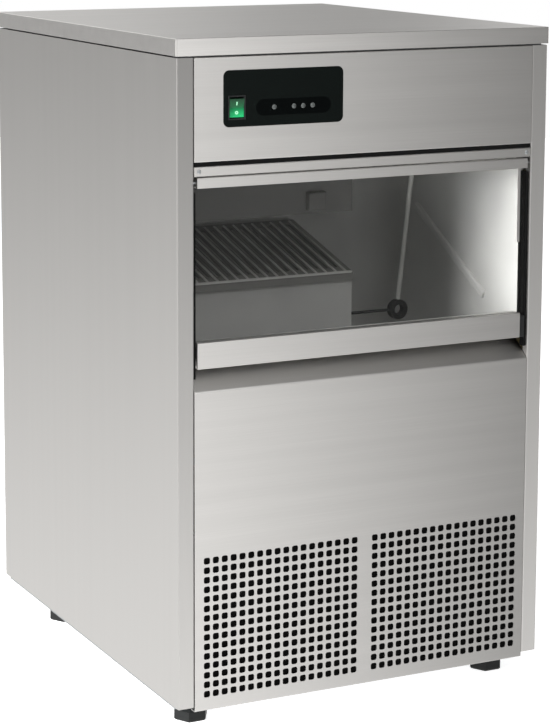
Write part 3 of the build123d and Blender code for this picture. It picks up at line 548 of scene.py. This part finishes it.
def lamp_dome(radius, rise):
    """Low dome standing on the XY plane."""
    shape = bmesh.new()
    bmesh.ops.create_uvsphere(shape, u_segments=24, v_segments=12, radius=radius)
    cut = bmesh.ops.bisect_plane(
        shape, geom=shape.verts[:] + shape.edges[:] + shape.faces[:], plane_co=(0, 0, 0),
        plane_no=(0, 0, 1), clear_inner=True,
    )["geom_cut"]
    bmesh.ops.holes_fill(shape, edges=[g for g in cut if isinstance(g, bmesh.types.BMEdge)])
    bmesh.ops.scale(shape, vec=(1, 1, rise / radius), verts=shape.verts[:])
    return shape


def block(low, high):
    """Box between two corners."""
    shape = bmesh.new()
    low, high = Vector(low), Vector(high)
    size = Matrix.Diagonal((*(high - low), 1))
    bmesh.ops.create_cube(shape, size=1.0, matrix=Matrix.Translation((low + high) / 2) @ size)
    return shape


def bar(low, high, edge):
    """Box between two corners with its edges rounded."""
    shape = block(low, high)
    bmesh.ops.bevel(
        shape, geom=shape.edges[:], offset=edge, segments=2, profile=0.5, affect="EDGES",
        material=-1,
    )
    return shape


def plate(low, high, corner):
    """Upright plate between two corners, with its outline rounded."""
    shape = block(low, high)
    across = [
        edge for edge in shape.edges
        if abs(edge.verts[0].co.y - edge.verts[1].co.y) > abs(high[1] - low[1]) / 2
    ]
    bmesh.ops.bevel(
        shape, geom=across, offset=corner, segments=8, profile=0.5, affect="EDGES", material=-1
    )
    return shape


def ring(outer, inner, thickness):
    """Flat ring standing on the XY plane."""
    shape = bmesh.new()
    bmesh.ops.create_circle(shape, cap_ends=True, segments=32, radius=outer)
    face = shape.faces[:][0]
    bmesh.ops.inset_region(
        shape, faces=[face], thickness=outer - inner, use_boundary=True, use_even_offset=True
    )
    bmesh.ops.delete(shape, geom=[face], context="FACES_ONLY")
    bmesh.ops.solidify(shape, geom=shape.faces[:], thickness=thickness)
    return shape


def grille_lines():
    """X of each line between the grilles' cells, with the panel's two side edges."""
    settings = bpy.context.scene.grille_settings
    low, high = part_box("lower_front_panel")
    inner = (settings.gap - settings.pitch) / 2
    right = [inner + i * settings.pitch for i in range(settings.columns + 1)]
    return [low.x] + [-x for x in reversed(right)] + right + [high.x]


def panel_section():
    """Corners (y, z) of the folded panel, from its lower flange up to its lip."""
    settings = bpy.context.scene.grille_settings
    low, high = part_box("lower_front_panel")
    first = low.z + settings.first_row - settings.pitch / 2
    rows = [(low.y, first + i * settings.pitch) for i in range(settings.rows + 1)]
    recess_back, lip_low = high.y - settings.sheet, high.z - settings.lip
    return (
        [(low.y + settings.flange, low.z), (low.y, low.z)] + rows
        + [(low.y, lip_low - settings.rise), (recess_back, lip_low), (recess_back, high.z)]
    )


def drawn_along(bm, edges, lines):
    """Draw a chain of edges out along X, with a new row of faces up to each line."""
    for step in [x1 - x0 for x0, x1 in zip(lines, lines[1:])]:
        new = bmesh.ops.extrude_edge_only(bm, edges=edges)["geom"]
        ends = {g for g in new if isinstance(g, bmesh.types.BMVert)}
        edges = [g for g in new if isinstance(g, bmesh.types.BMEdge) and ends.issuperset(g.verts)]
        bmesh.ops.translate(bm, verts=list(ends), vec=(step, 0, 0))


def punch(bm, cells):
    """Punch a square hole with rounded corners in the middle of each cell."""
    settings = bpy.context.scene.grille_settings
    bmesh.ops.inset_individual(
        bm, faces=cells, thickness=(settings.pitch - settings.side) / 2, use_even_offset=True
    )
    bmesh.ops.bevel(
        bm, geom=list({vert for cell in cells for vert in cell.verts}), offset=settings.corner,
        segments=settings.arc_steps, profile=0.5, affect="VERTICES", material=-1,
    )
    # Only the slugs have an arc at each of four corners.
    slugs = [face for face in bm.faces if len(face.verts) == 4 * (settings.arc_steps + 1)]
    bmesh.ops.delete(bm, geom=slugs, context="FACES_ONLY")


def punched_panel():
    """The lower panel: its section drawn out along X, folded, punched and thickened."""
    settings = bpy.context.scene.grille_settings
    lines, section = grille_lines(), panel_section()
    bm = bmesh.new()
    verts = [bm.verts.new((lines[0], y, z)) for y, z in section]
    drawn_along(bm, [bm.edges.new(pair) for pair in zip(verts, verts[1:])], lines)
    # The sheet is folded at its lower edge, at the recess's edge and behind its slope.
    lower_edge, recess_edge, slope_end = section[1], section[-3], section[-2]
    front = lower_edge[0]
    folds = [
        edge for edge in bm.edges
        if abs(edge.verts[0].co.x - edge.verts[1].co.x) > settings.sheet
        and any(
            (edge.verts[0].co.yz - Vector(corner)).length < TOUCH
            for corner in (lower_edge, recess_edge, slope_end)
        )
    ]
    bmesh.ops.bevel(
        bm, geom=folds, offset=settings.bend, segments=4, profile=0.5, affect="EDGES",
        material=-1,
    )
    first_line, last_line = section[2], section[-4]
    centres = {face: face.calc_center_median() for face in bm.faces}
    punch(bm, [
        face for face, centre in centres.items()
        if abs(centre.y - front) < TOUCH and first_line[1] < centre.z < last_line[1]
        and lines[len(lines) // 2] < abs(centre.x) < lines[-2]
    ])
    bmesh.ops.recalc_face_normals(bm, faces=bm.faces)
    if bm.faces[:][0].normal.z > 0:
        bmesh.ops.reverse_faces(bm, faces=bm.faces)
    sides = [
        edge for edge in bm.edges
        if edge.is_boundary and all(
            abs(abs(vert.co.x) - lines[-1]) < TOUCH and abs(vert.co.y - front) < TOUCH
            and lower_edge[1] + settings.bend < vert.co.z < recess_edge[1] - settings.bend
            for vert in edge.verts
        )
    ]
    flanges = bmesh.ops.extrude_edge_only(bm, edges=sides)["geom"]
    bmesh.ops.translate(
        bm, verts=[g for g in flanges if isinstance(g, bmesh.types.BMVert)],
        vec=(0, settings.flange, 0),
    )
    bmesh.ops.solidify(bm, geom=bm.faces[:], thickness=settings.sheet)
    return bm


# Operators


class ICE_MACHINE_OT_finish_cabinet(bpy.types.Operator):
    """Give the cabinet's sheet metal its brushed and galvanised finishes"""

    bl_idname = "ice_machine.finish_cabinet"
    bl_label = "Finish Cabinet"

    def execute(self, context):
        # The front panels take the steel painted darker as shade, and the lid a copy painted
        # lighter as light; the side panels keep its own colour.
        across = brushed_stainless("brushed_stainless_across_painted_shade", "X", painted_light_tint=0.91, contrast=0.07)
        upright = brushed_stainless("brushed_stainless_upright", "Z", painted_light_tint=1.0, contrast=0.025)
        lid = brushed_stainless("brushed_stainless_lid_painted_light", "X", painted_light_tint=1.04, contrast=0.07)
        paint(["top_cover"], lid)
        paint(
            ["lower_front_panel", "header_strip", "control_fascia", "door_top_rail",
             "door_bottom_rail"],
            across,
        )
        paint(["left_side_panel", "right_side_panel"], upright)
        paint(
            ["base_pan", "rear_panel", "top_front_rail", "top_rear_rail", "fan_shroud",
             "fan_bracket", "foot_nuts", "hinge_pins", "hinge_brackets", "rear_screws"],
            galvanised_steel(),
        )
        return {"FINISHED"}


class ICE_MACHINE_OT_finish_bin(bpy.types.Operator):
    """Give the bin, its door pane and the ice maker their plastics"""

    bl_idname = "ice_machine.finish_bin"
    bl_label = "Finish Bin"

    def execute(self, context):
        settings = context.scene.machine_finishes
        # Polystyrene, formed and satin: white, so it turns a soft grey in the bin's own shade.
        liner = moulded_plastic("moulded_liner", settings.liner_colour, 0.42)
        paint(["bin_liner", "water_tank", "spray_bar"], liner)
        # Polypropylene, moulded: a grey darkened as painted shade, between the ribs on top of the
        # slats that are painted paler as highlights.
        paint(["ice_slide"], moulded_plastic("moulded_slats_painted_shade", settings.slat_shaded_colour, 0.42))
        # ABS, moulded: dark and grained, so that it holds no highlight above the bin.
        shroud = moulded_plastic("moulded_shroud", settings.shroud_colour, 0.42)
        paint(["evaporator_shroud", "sensor_box"], shroud)
        # PVC, extruded and a little smoother: it stands out pale against the cover.
        fitting = moulded_plastic("moulded_fitting", settings.fitting_colour, 0.35)
        paint(["probe_tube", "water_inlet_valve", "drain_pipe"], fitting)
        paint(["bin_foam"], poured_foam())
        paint(["door_pane"], clear_pane())
        # EPDM rubber, extruded: black and dull, so that a seal reads as a dark line.
        rubber = moulded_plastic(
            "rubber", linear("#060606"), 0.75, 0.4 * MM, 0.05 * MM, specular=0.15
        )
        paint(["door_seal", "compressor_grommets"], rubber)
        # Copper, dipped in tin: pale and warm, dulled by the water that runs over it.
        paint(["evaporator"], drawn_metal("tinned_copper", "#C4BEB4", 0.35, 0.2))
        return {"FINISHED"}


class ICE_MACHINE_OT_finish_controls(bpy.types.Operator):
    """Give the display, the switch and the lamps their finishes"""

    bl_idname = "ice_machine.finish_controls"
    bl_label = "Finish Controls"

    def execute(self, context):
        settings = context.scene.machine_finishes
        # ABS from a polished mould: nearly black, with a faint and soft-edged gloss.
        gloss = moulded_plastic(
            "gloss_abs", settings.display_colour, 0.22, 0.8 * MM, 0.004 * MM, specular=0.12
        )
        paint(["display_plate"], gloss)
        # ABS from a grained mould: charcoal, with broad and weak highlights.
        matt = moulded_plastic(
            "matt_abs", settings.trim_colour, 0.5, 0.5 * MM, 0.03 * MM, specular=0.3
        )
        paint(
            ["switch_bezel", "door_end_block", "probe_ring", "probe_rod", "water_pump",
             "electrical_box", "power_socket"],
            matt,
        )
        paint(["foot_front_left", "foot_front_right", "foot_rear_left", "foot_rear_right"], matt)
        paint(["switch_rocker"], lit_rocker())
        # Frosted polycarbonate with its lamp off: a dull grey dot that hides what is behind it.
        frosted = moulded_plastic(
            "frosted_lens", settings.lens_colour, 0.45, 0.5 * MM, 0.01 * MM
        )
        paint(["led_lenses"], frosted)
        # Solder mask over laid copper: deep green, its gloss broken up by the tracks below.
        board = moulded_plastic("board", linear("#0F5A34"), 0.4, 0.9 * MM, 0.05 * MM)
        paint(["control_board"], board)
        return {"FINISHED"}


class ICE_MACHINE_OT_finish_machine_room(bpy.types.Operator):
    """Give the compressor, the condenser, the fan and the pipes their finishes"""

    bl_idname = "ice_machine.finish_machine_room"
    bl_label = "Finish Machine Room"

    def execute(self, context):
        # Stove enamel on pressed steel: black and wavy, with a clear gloss on top.
        enamel = moulded_plastic(
            "black_enamel", linear("#141414"), 0.3, 1.2 * MM, 0.03 * MM, coat=0.3
        )
        paint(["compressor", "fan_motor"], enamel)
        # Aluminium fins, dark almost to black as painted shade behind the grille's holes, with a
        # metallic glint.
        paint(["condenser"], drawn_metal("dark_fins_painted_shade", "#2A2B2C", 0.5, 0.3))
        # Aluminium, rolled and pressed: light grey and satin.
        paint(["fan_blade"], drawn_metal("satin_aluminium", "#C9CACB", 0.35, 0.1))
        # Copper, drawn: warm and bright, browner where it has tarnished.
        copper = drawn_metal("drawn_copper", "#C07A55", 0.3, 0.25)
        paint(["filter_drier", "refrigerant_pipes"], copper)
        return {"FINISHED"}


class ICE_MACHINE_OT_punch_panel(bpy.types.Operator):
    """Fold and punch the lower front panel with its two grilles"""

    bl_idname = "ice_machine.punch_panel"
    bl_label = "Punch Panel"

    def execute(self, context):
        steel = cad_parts["lower_front_panel"].data.materials[0]
        panel = piece_from(
            punched_panel(), "lower_panel_sheet", steel, "cabinet"
        )
        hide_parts("lower_front_panel")
        return {"FINISHED"}


class ICE_MACHINE_OT_fit_filter(bpy.types.Operator):
    """Clip a black foam sheet behind the grilles, as painted shade seen through their holes"""

    bl_idname = "ice_machine.fit_filter"
    bl_label = "Fit Filter"

    def execute(self, context):
        settings = context.scene.grille_settings
        low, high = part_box("lower_front_panel")
        thickness, edge = 3.0 * MM, 1.0 * MM
        front, side = low.y + 2 * settings.sheet, settings.flange
        top = low.z + settings.first_row + settings.rows * settings.pitch
        sheet = bar(
            (low.x + side, front, low.z + side), (high.x - side, front + thickness, top), edge
        )
        # Polyurethane foam with open cells, black and matt: painted shade that makes the holes
        # before it look deep.
        foam = moulded_plastic(
            "filter_foam_painted_shade", linear("#050505"), 0.95, 1.5 * MM, 0.6 * MM, spread=0.5, specular=0.1
        )
        piece_from(sheet, "dust_filter_painted_shade", foam, "cabinet")
        return {"FINISHED"}


class ICE_MACHINE_OT_add_lamps(bpy.types.Operator):
    """Put a low dome on each lamp of the display"""

    bl_idname = "ice_machine.add_lamps"
    bl_label = "Add Lamps"

    def execute(self, context):
        fittings = context.scene.machine_fittings
        low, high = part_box("led_lenses")
        radius = (high.z - low.z) / 2
        bm = bmesh.new()
        for place in fittings.lamp_places:
            centre = Vector((low.x + radius + place, low.y, (low.z + high.z) / 2))
            dome = lamp_dome(fittings.dome_share * radius, fittings.lens_rise)
            add_shape(bm, dome, turned_about(centre, FORWARD))
        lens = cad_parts["led_lenses"].data.materials[0]
        piece_from(bm, "lamp_domes", lens, "cabinet")
        return {"FINISHED"}


class ICE_MACHINE_OT_frame_lamps(bpy.types.Operator):
    """Lay the dark window with round ends behind the lamps"""

    bl_idname = "ice_machine.frame_lamps"
    bl_label = "Frame Lamps"

    def execute(self, context):
        fittings = context.scene.machine_fittings
        low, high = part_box("led_lenses")
        middle_z = (low.z + high.z) / 2
        half = fittings.window_height / 2
        corner = 0.95 * half
        bm = plate(
            (low.x - fittings.window_margin, low.y - fittings.window_rise, middle_z - half),
            (high.x + fittings.window_margin, low.y, middle_z + half), corner,
        )
        # Smoked acrylic, cast: blacker than the plate round it, because little light comes back.
        smoked = moulded_plastic(
            "smoked_window", context.scene.machine_finishes.window_colour, 0.15, 0.8 * MM,
            0.002 * MM, specular=0.06,
        )
        piece_from(bm, "lamp_window", smoked, "cabinet")
        return {"FINISHED"}


class ICE_MACHINE_OT_mark_switch(bpy.types.Operator):
    """Mould the on bar and the off ring on the rocker"""

    bl_idname = "ice_machine.mark_switch"
    bl_label = "Mark Switch"

    def execute(self, context):
        fittings = context.scene.machine_fittings
        half, stroke = fittings.mark_height / 2, fittings.mark_stroke
        rise, edge = 0.15 * MM, 0.1 * MM
        low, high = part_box("switch_rocker")
        middle = (low + high) / 2
        # The rocker's lower half is pressed in and upright, and its upper half leans out.
        pressed = low.y + fittings.rocker_press
        lean = atan2(pressed - low.y, high.z - middle.z)
        bm = bmesh.new()
        on_place = Matrix.Translation((middle.x, (pressed + low.y) / 2, (middle.z + high.z) / 2))
        on_bar = bar((-stroke / 2, -rise, -half), (stroke / 2, rise, half), edge)
        add_shape(bm, on_bar, on_place @ Matrix.Rotation(lean, 4, "X"))
        off_place = Matrix.Translation((middle.x, pressed - rise, (middle.z + low.z) / 2))
        off_ring = ring(half, half - stroke, 2 * rise)
        add_shape(bm, off_ring, off_place @ Matrix.Rotation(pi / 2, 4, "X"))
        # White ink, pad printed: it takes on the green of the lit rocker under it.
        mark = moulded_plastic(
            "white_print", context.scene.machine_finishes.mark_colour, 0.4, 0.4 * MM, 0.005 * MM
        )
        piece_from(bm, "rocker_marks", mark, "rocker")
        return {"FINISHED"}


class ICE_MACHINE_OT_fit_screws(bpy.types.Operator):
    """Drive the header strip's two screws and the rear panel's six"""

    bl_idname = "ice_machine.fit_screws"
    bl_label = "Fit Screws"

    def execute(self, context):
        fittings = context.scene.machine_fittings
        # Steel, zinc plated: grey and fairly bright, with faint marks of the tumbling.
        zinc = drawn_metal("zinc_plated_steel", "#B9BCBE", 0.3, 0.15)
        low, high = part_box("header_strip")
        inset, rise = 6.0 * MM, 1.2 * MM
        bm = bmesh.new()
        for x in (low.x + inset, high.x - inset):
            centre = Vector((x, low.y, (low.z + high.z) / 2))
            add_shape(bm, screw_head(fittings.header_screw, rise), turned_about(centre, FORWARD))
        piece_from(bm, "header_screws", zinc, "cabinet")
        low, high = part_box("rear_screws")
        middle, reach = (low + high) / 2, fittings.rear_screw_reach
        half_head = 4.0 * MM
        bm = bmesh.new()
        for x in (middle.x - reach, middle.x + reach):
            for z in (low.z + half_head, middle.z, high.z - half_head):
                head = screw_head(fittings.screw_head, high.y - low.y)
                add_shape(bm, head, turned_about(Vector((x, low.y, z)), BACKWARD))
        rear = piece_from(bm, "rear_screw_heads", zinc, "cabinet")
        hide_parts("rear_screws")
        return {"FINISHED"}


class ICE_MACHINE_OT_edge_pane(bpy.types.Operator):
    """Fit the short steel strip at the pane's right edge, under the hinge"""

    bl_idname = "ice_machine.edge_pane"
    bl_label = "Edge Pane"

    def execute(self, context):
        fittings = context.scene.machine_fittings
        low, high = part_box("door_pane")
        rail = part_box("door_top_rail")[0]
        inset, thickness, edge = 7.5 * MM, 0.9 * MM, 0.25 * MM
        right = high.x - inset
        strip = bar(
            (right - fittings.strip_width, low.y - thickness, rail.z - fittings.strip_length),
            (right, low.y, rail.z), edge,
        )
        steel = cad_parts["door_top_rail"].data.materials[0]
        piece_from(strip, "pane_edge_strips", steel, "door")
        return {"FINISHED"}


class ICE_MACHINE_OT_shade_fascia_gaps(bpy.types.Operator):
    """Lay black rubber strips in the gaps under the fascia and beside the door, as painted shadow
    in those gaps
    """

    bl_idname = "ice_machine.seal_fascia"
    bl_label = "Seal Fascia"

    def execute(self, context):
        (low, high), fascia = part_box("header_strip"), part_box("control_fascia")[0]
        slack, setback, edge = 0.2 * MM, 1.0 * MM, 0.4 * MM
        # The black strip under the fascia is painted shadow in the gap there.
        strip = bar(
            (low.x + slack, low.y + setback, high.z + slack),
            (high.x - slack, high.y, fascia.z - slack), edge,
        )
        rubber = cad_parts["door_seal"].data.materials[0]
        piece_from(strip, "fascia_gap_shadow", rubber, "cabinet")
        (low, high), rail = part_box("door_seal"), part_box("door_bottom_rail")[0]
        # The black strips beside the door are painted shadow in the gaps at its sides.
        width, depth, overlap = 3.2 * MM, 9.0 * MM, 12.0 * MM
        slack, edge = 0.1 * MM, 0.5 * MM
        jambs = bmesh.new()
        for x in (low.x, high.x - width):
            jamb = bar(
                (x, low.y - depth, rail.z - overlap), (x + width, low.y - slack, high.z), edge
            )
            add_shape(jambs, jamb, Matrix())
        piece_from(jambs, "jamb_gap_shadows", rubber, "cabinet")
        return {"FINISHED"}


class ICE_MACHINE_OT_rib_slide(bpy.types.Operator):
    """Mould the rounded rib on each slat of the slide, and the bead along its lip"""

    bl_idname = "ice_machine.rib_slide"
    bl_label = "Rib Slide"

    def execute(self, context):
        fittings = context.scene.machine_fittings
        low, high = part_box("ice_slide")
        slope, half, rise = fittings.slide_slope, fittings.rib_width / 2, 1.8 * MM
        lip, side_gap, end_gap = 4.0 * MM, 1.0 * MM, 6.0 * MM
        front = low.y + lip * cos(slope)
        length = (high.y - front) / cos(slope)
        # The slats start here behind the lip, and rise to the slide's back edge.
        start = Vector(((low.x + high.x) / 2, front, high.z - length * sin(slope)))
        bm = bmesh.new()
        reach = (high.x - low.x) / 2 - side_gap
        add_shape(bm, bar((-reach, -lip, -rise), (reach, 0, rise), 0.8 * rise), Matrix())
        for index in range(fittings.slat_count):
            x = (index - (fittings.slat_count - 1) / 2) * fittings.slat_pitch
            rib = bar((x - half, 0, -rise), (x + half, length - end_gap, rise), 0.9 * half)
            add_shape(bm, rib, Matrix())
        bmesh.ops.transform(
            bm, matrix=Matrix.Translation(start) @ Matrix.Rotation(slope, 4, "X"), verts=bm.verts
        )
        # Polypropylene again, the same as the slats but painted paler: a painted highlight along
        # each rounded rib and along the lip.
        rib_highlight = moulded_plastic("moulded_ribs_painted_highlight", context.scene.machine_finishes.rib_highlight_colour, 0.4)
        piece_from(bm, "slide_ribs", rib_highlight, "cabinet")
        return {"FINISHED"}


class ICE_MACHINE_OT_bead_liner(bpy.types.Operator):
    """Round off the bead that slants down the bin's right wall"""

    bl_idname = "ice_machine.bead_liner"
    bl_label = "Bead Liner"

    def execute(self, context):
        fittings = context.scene.machine_fittings
        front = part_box("left_side_panel")[0].y
        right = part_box("bin_liner")[1].x
        wall, rise, edge = 3.0 * MM, 3.6 * MM, 3.4 * MM
        start, end = (
            Vector((right - wall, front + place[0], place[1]))
            for place in (fittings.bead_low, fittings.bead_high)
        )
        along = end - start
        half = Vector((rise, along.length / 2, fittings.bead_width / 2))
        bead = bar(-half, half, edge)
        turn = Matrix.Rotation(atan2(along.z, along.y), 4, "X")
        bmesh.ops.transform(
            bead, matrix=Matrix.Translation((start + end) / 2) @ turn, verts=bead.verts
        )
        cut = bmesh.ops.bisect_plane(
            bead, geom=bead.verts[:] + bead.edges[:] + bead.faces[:],
            plane_co=(right - wall / 2, 0, 0), plane_no=(1, 0, 0), clear_outer=True,
        )["geom_cut"]
        bmesh.ops.holes_fill(bead, edges=[g for g in cut if isinstance(g, bmesh.types.BMEdge)])
        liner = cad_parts["bin_liner"].data.materials[0]
        piece_from(bead, "liner_bead", liner, "cabinet")
        return {"FINISHED"}


# Light of the room by direction: an axis, then the two ends of a smooth change, each as its
# place on the axis and its brightness. "facing" is 1 straight ahead and straight behind. It
# shows only in gloss, most of all in the brushed steel: matt surfaces get FILL_LIGHT.
ROOM_LIGHT = {
    "ahead_left": ("X", (-0.15, 0.93), (0.30, 1.6)),
    "ahead_right": ("X", (0.35, 1.0), (0.61, 0.16)),
    "ahead_low": ("Z", (-0.42, 1.28), (-0.20, 1.0)),
    "behind_left": ("X", (-0.30, 1.19), (0.18, 0.74)),
    "behind_right": ("X", (0.50, 1.0), (0.58, 2.4)),
    "behind": ("Y", (-0.2, 0.0), (0.2, 1.0)),
    "dark_band": ("facing", (0.45, 0.0), (0.80, 1.0)),
    "dark_depth": ("Y", (-0.2, 0.66), (0.2, 0.92)),
    "dark_low": ("Z", (-0.37, 0.0), (0.02, 1.0)),
    "dark_high": ("Z", (0.10, 1.0), (0.42, 0.12)),
    "window_low": ("Z", (0.0, 0.0), (0.35, 1.0)),
    "window_right": ("X", (0.36, 1.0), (0.48, 0.0)),
    "ceiling": ("Z", (0.50, 1.0), (0.85, 0.16)),
}
FILL_LIGHT = 0.12  # Strength of the room on matt surfaces.
FLOOR_GLOW = ((0.7, 0.72), (1.6, 1.0))  # Distance from the machine and glow, at both ends.
# Name, place, point aimed at, diameter and power in watts.
LAMPS = (
    ("key", (-2.9, -0.72, 0.95), (0.22, -0.2, 0.56), 1.3, 400.0),
    ("bin", (-0.75, -2.2, 0.9), (0.1, 0.0, 0.55), 0.6, 6.0),
    ("front", (-0.4, -2.4, 2.6), (0.0, -0.2, 0.5), 1.6, 45.0),
)


class ICE_MACHINE_OT_set_studio(bpy.types.Operator):
    """Make the floor, the light and the camera"""

    bl_idname = "ice_machine.set_studio"
    bl_label = "Set Studio"

    def execute(self, context):
        self.add_floor()
        self.set_world()
        self.add_lights()
        self.add_camera()
        context.scene.view_settings.view_transform = "Standard"
        return {"FINISHED"}

    def add_floor(self):
        """Pale floor that glows to the camera, and fully so away from the machine's shadow."""
        bm = bmesh.new()
        bmesh.ops.create_circle(bm, cap_ends=True, segments=96, radius=6.0)
        mesh = bpy.data.meshes.new("floor")
        bm.to_mesh(mesh)
        bm.free()
        floor = bpy.data.objects.new("floor", mesh)
        material, tree, shader, place = new_material("studio_floor")
        colour = shade(bpy.context.scene.studio_settings.floor_colour, 1.0)
        # Faint clouds some 33 mm wide, as in a paper backdrop.
        speckle = add_node(
            tree, "ShaderNodeTexNoise", {"Vector": place}, inputs={"Scale": 30.0}
        ).outputs["Fac"]
        tone = colour_ramp(tree, speckle, [(0.0, shade(colour, 0.98)), (1.0, colour)])
        tree.links.new(tone, shader.inputs["Base Color"])
        shader.inputs["Roughness"].default_value = 0.9
        shader.inputs["Emission Color"].default_value = colour
        camera_ray = add_node(tree, "ShaderNodeLightPath").outputs["Is Camera Ray"]
        away = add_node(
            tree, "ShaderNodeVectorMath", {0: place}, operation="LENGTH"
        ).outputs["Value"]
        glow = product(tree, camera_ray, smooth_step(tree, away, *FLOOR_GLOW))
        tree.links.new(glow, shader.inputs["Emission Strength"])
        floor.visible_glossy = False
        mesh.materials.append(material)
        bpy.context.scene.collection.objects.link(floor)

    def set_world(self):
        """White behind the object, and a plain soft room for what lights it."""
        world = bpy.data.worlds.new("studio")
        bpy.context.scene.world = world
        world.use_nodes = True
        tree = world.node_tree
        tree.nodes.clear()
        direction = add_node(tree, "ShaderNodeTexCoord").outputs["Generated"]
        axes = add_node(tree, "ShaderNodeSeparateXYZ", {"Vector": direction})
        facing = add_node(
            tree, "ShaderNodeMath", {0: axes.outputs["Y"]}, operation="ABSOLUTE"
        ).outputs["Value"]
        along = {"facing": facing, **{axis: axes.outputs[axis] for axis in "XYZ"}}
        step = {
            name: smooth_step(tree, along[axis], start, end)
            for name, (axis, start, end) in ROOM_LIGHT.items()
        }
        ahead = product(tree, step["ahead_left"], step["ahead_right"], step["ahead_low"])
        behind = product(tree, step["behind_left"], step["behind_right"])
        walls = add_node(
            tree, "ShaderNodeMix", {"Factor": step["behind"], "A": ahead, "B": behind},
            data_type="FLOAT",
        ).outputs["Result"]
        dark = product(
            tree, product(tree, step["dark_band"], step["dark_depth"]),
            product(tree, step["dark_low"], step["dark_high"]),
        )
        undimmed = add_node(
            tree, "ShaderNodeMath", {1: dark}, operation="SUBTRACT", inputs={0: 1.0}
        ).outputs["Value"]
        window = product(tree, step["window_low"], step["window_right"])
        upper = add_node(
            tree, "ShaderNodeMath", {0: window}, operation="ADD", inputs={1: 1.0}
        ).outputs["Value"]
        room = product(tree, walls, product(tree, upper, step["ceiling"]), undimmed)
        rays = add_node(tree, "ShaderNodeLightPath")
        soft = add_node(
            tree, "ShaderNodeMix", {"Factor": rays.outputs["Is Diffuse Ray"], "A": room},
            data_type="FLOAT", inputs={"B": FILL_LIGHT},
        ).outputs["Result"]
        light = add_node(
            tree, "ShaderNodeMix", {"Factor": rays.outputs["Is Camera Ray"], "A": soft},
            data_type="FLOAT", inputs={"B": 1.0},
        ).outputs["Result"]
        back = add_node(
            tree, "ShaderNodeBackground", {"Strength": light}, inputs={"Color": (1, 1, 1, 1)}
        )
        add_node(tree, "ShaderNodeOutputWorld", {"Surface": back.outputs["Background"]})

    def add_lights(self):
        """Soft key from the left, a weak lamp into the bin and a fill from above the front."""
        for name, place, aim, size, power in LAMPS:
            lamp = bpy.data.lights.new(name, "AREA")
            lamp.shape = "DISK"
            lamp.size = size
            lamp.energy = power
            light = bpy.data.objects.new(name, lamp)
            light.location = place
            light.visible_glossy = False
            line = Vector(aim) - Vector(place)
            light.rotation_euler = line.to_track_quat("-Z", "Y").to_euler()
            bpy.context.scene.collection.objects.link(light)

    def add_camera(self):
        """Camera where the photograph was taken from."""
        settings = bpy.context.scene.studio_settings
        lens = bpy.data.cameras.new("camera")
        lens.lens = settings.lens
        lens.shift_x, lens.shift_y = settings.shift
        camera = bpy.data.objects.new("camera", lens)
        camera.location = settings.camera_place
        camera.rotation_euler = (pi / 2 - settings.camera_tilt, 0, -settings.camera_turn)
        bpy.context.scene.collection.objects.link(camera)
        bpy.context.scene.camera = camera


OPERATORS = (
    ICE_MACHINE_OT_finish_cabinet,
    ICE_MACHINE_OT_finish_bin,
    ICE_MACHINE_OT_finish_controls,
    ICE_MACHINE_OT_finish_machine_room,
    ICE_MACHINE_OT_punch_panel,
    ICE_MACHINE_OT_fit_filter,
    ICE_MACHINE_OT_add_lamps,
    ICE_MACHINE_OT_frame_lamps,
    ICE_MACHINE_OT_mark_switch,
    ICE_MACHINE_OT_fit_screws,
    ICE_MACHINE_OT_edge_pane,
    ICE_MACHINE_OT_shade_fascia_gaps,
    ICE_MACHINE_OT_rib_slide,
    ICE_MACHINE_OT_bead_liner,
    ICE_MACHINE_OT_set_studio,
)
GROUPS = {
    "machine_finishes": MachineFinishes,
    "grille_settings": GrilleSettings,
    "machine_fittings": MachineFittings,
    "studio_settings": StudioSettings,
}


class VIEW3D_PT_ice_machine(bpy.types.Panel):
    """The machine's operators and settings in the sidebar"""

    bl_label = "Ice Machine"
    bl_space_type = "VIEW_3D"
    bl_region_type = "UI"
    bl_category = "Ice Machine"

    def draw(self, context):
        for operator in OPERATORS:
            self.layout.operator(operator.bl_idname)
        for group in GROUPS:
            settings = getattr(context.scene, group)
            for name in settings.__annotations__:
                self.layout.prop(settings, name)


def register():
    for cls in (*GROUPS.values(), *OPERATORS, VIEW3D_PT_ice_machine):
        bpy.utils.register_class(cls)
    for name, group in GROUPS.items():
        setattr(bpy.types.Scene, name, bpy.props.PointerProperty(type=group))


def unregister():
    for name in GROUPS:
        delattr(bpy.types.Scene, name)
    for cls in (VIEW3D_PT_ice_machine, *reversed(OPERATORS), *reversed(list(GROUPS.values()))):
        bpy.utils.unregister_class(cls)


def main():
    """Run every operator in order."""
    register()
    bpy.ops.ice_machine.finish_cabinet()
    bpy.ops.ice_machine.finish_bin()
    bpy.ops.ice_machine.finish_controls()
    bpy.ops.ice_machine.finish_machine_room()
    bpy.ops.ice_machine.punch_panel()
    bpy.ops.ice_machine.fit_filter()
    bpy.ops.ice_machine.add_lamps()
    bpy.ops.ice_machine.frame_lamps()
    bpy.ops.ice_machine.mark_switch()
    bpy.ops.ice_machine.fit_screws()
    bpy.ops.ice_machine.edge_pane()
    bpy.ops.ice_machine.seal_fascia()
    bpy.ops.ice_machine.rib_slide()
    bpy.ops.ice_machine.bead_liner()
    bpy.ops.ice_machine.set_studio()


if __name__ == "__main__":
    main()
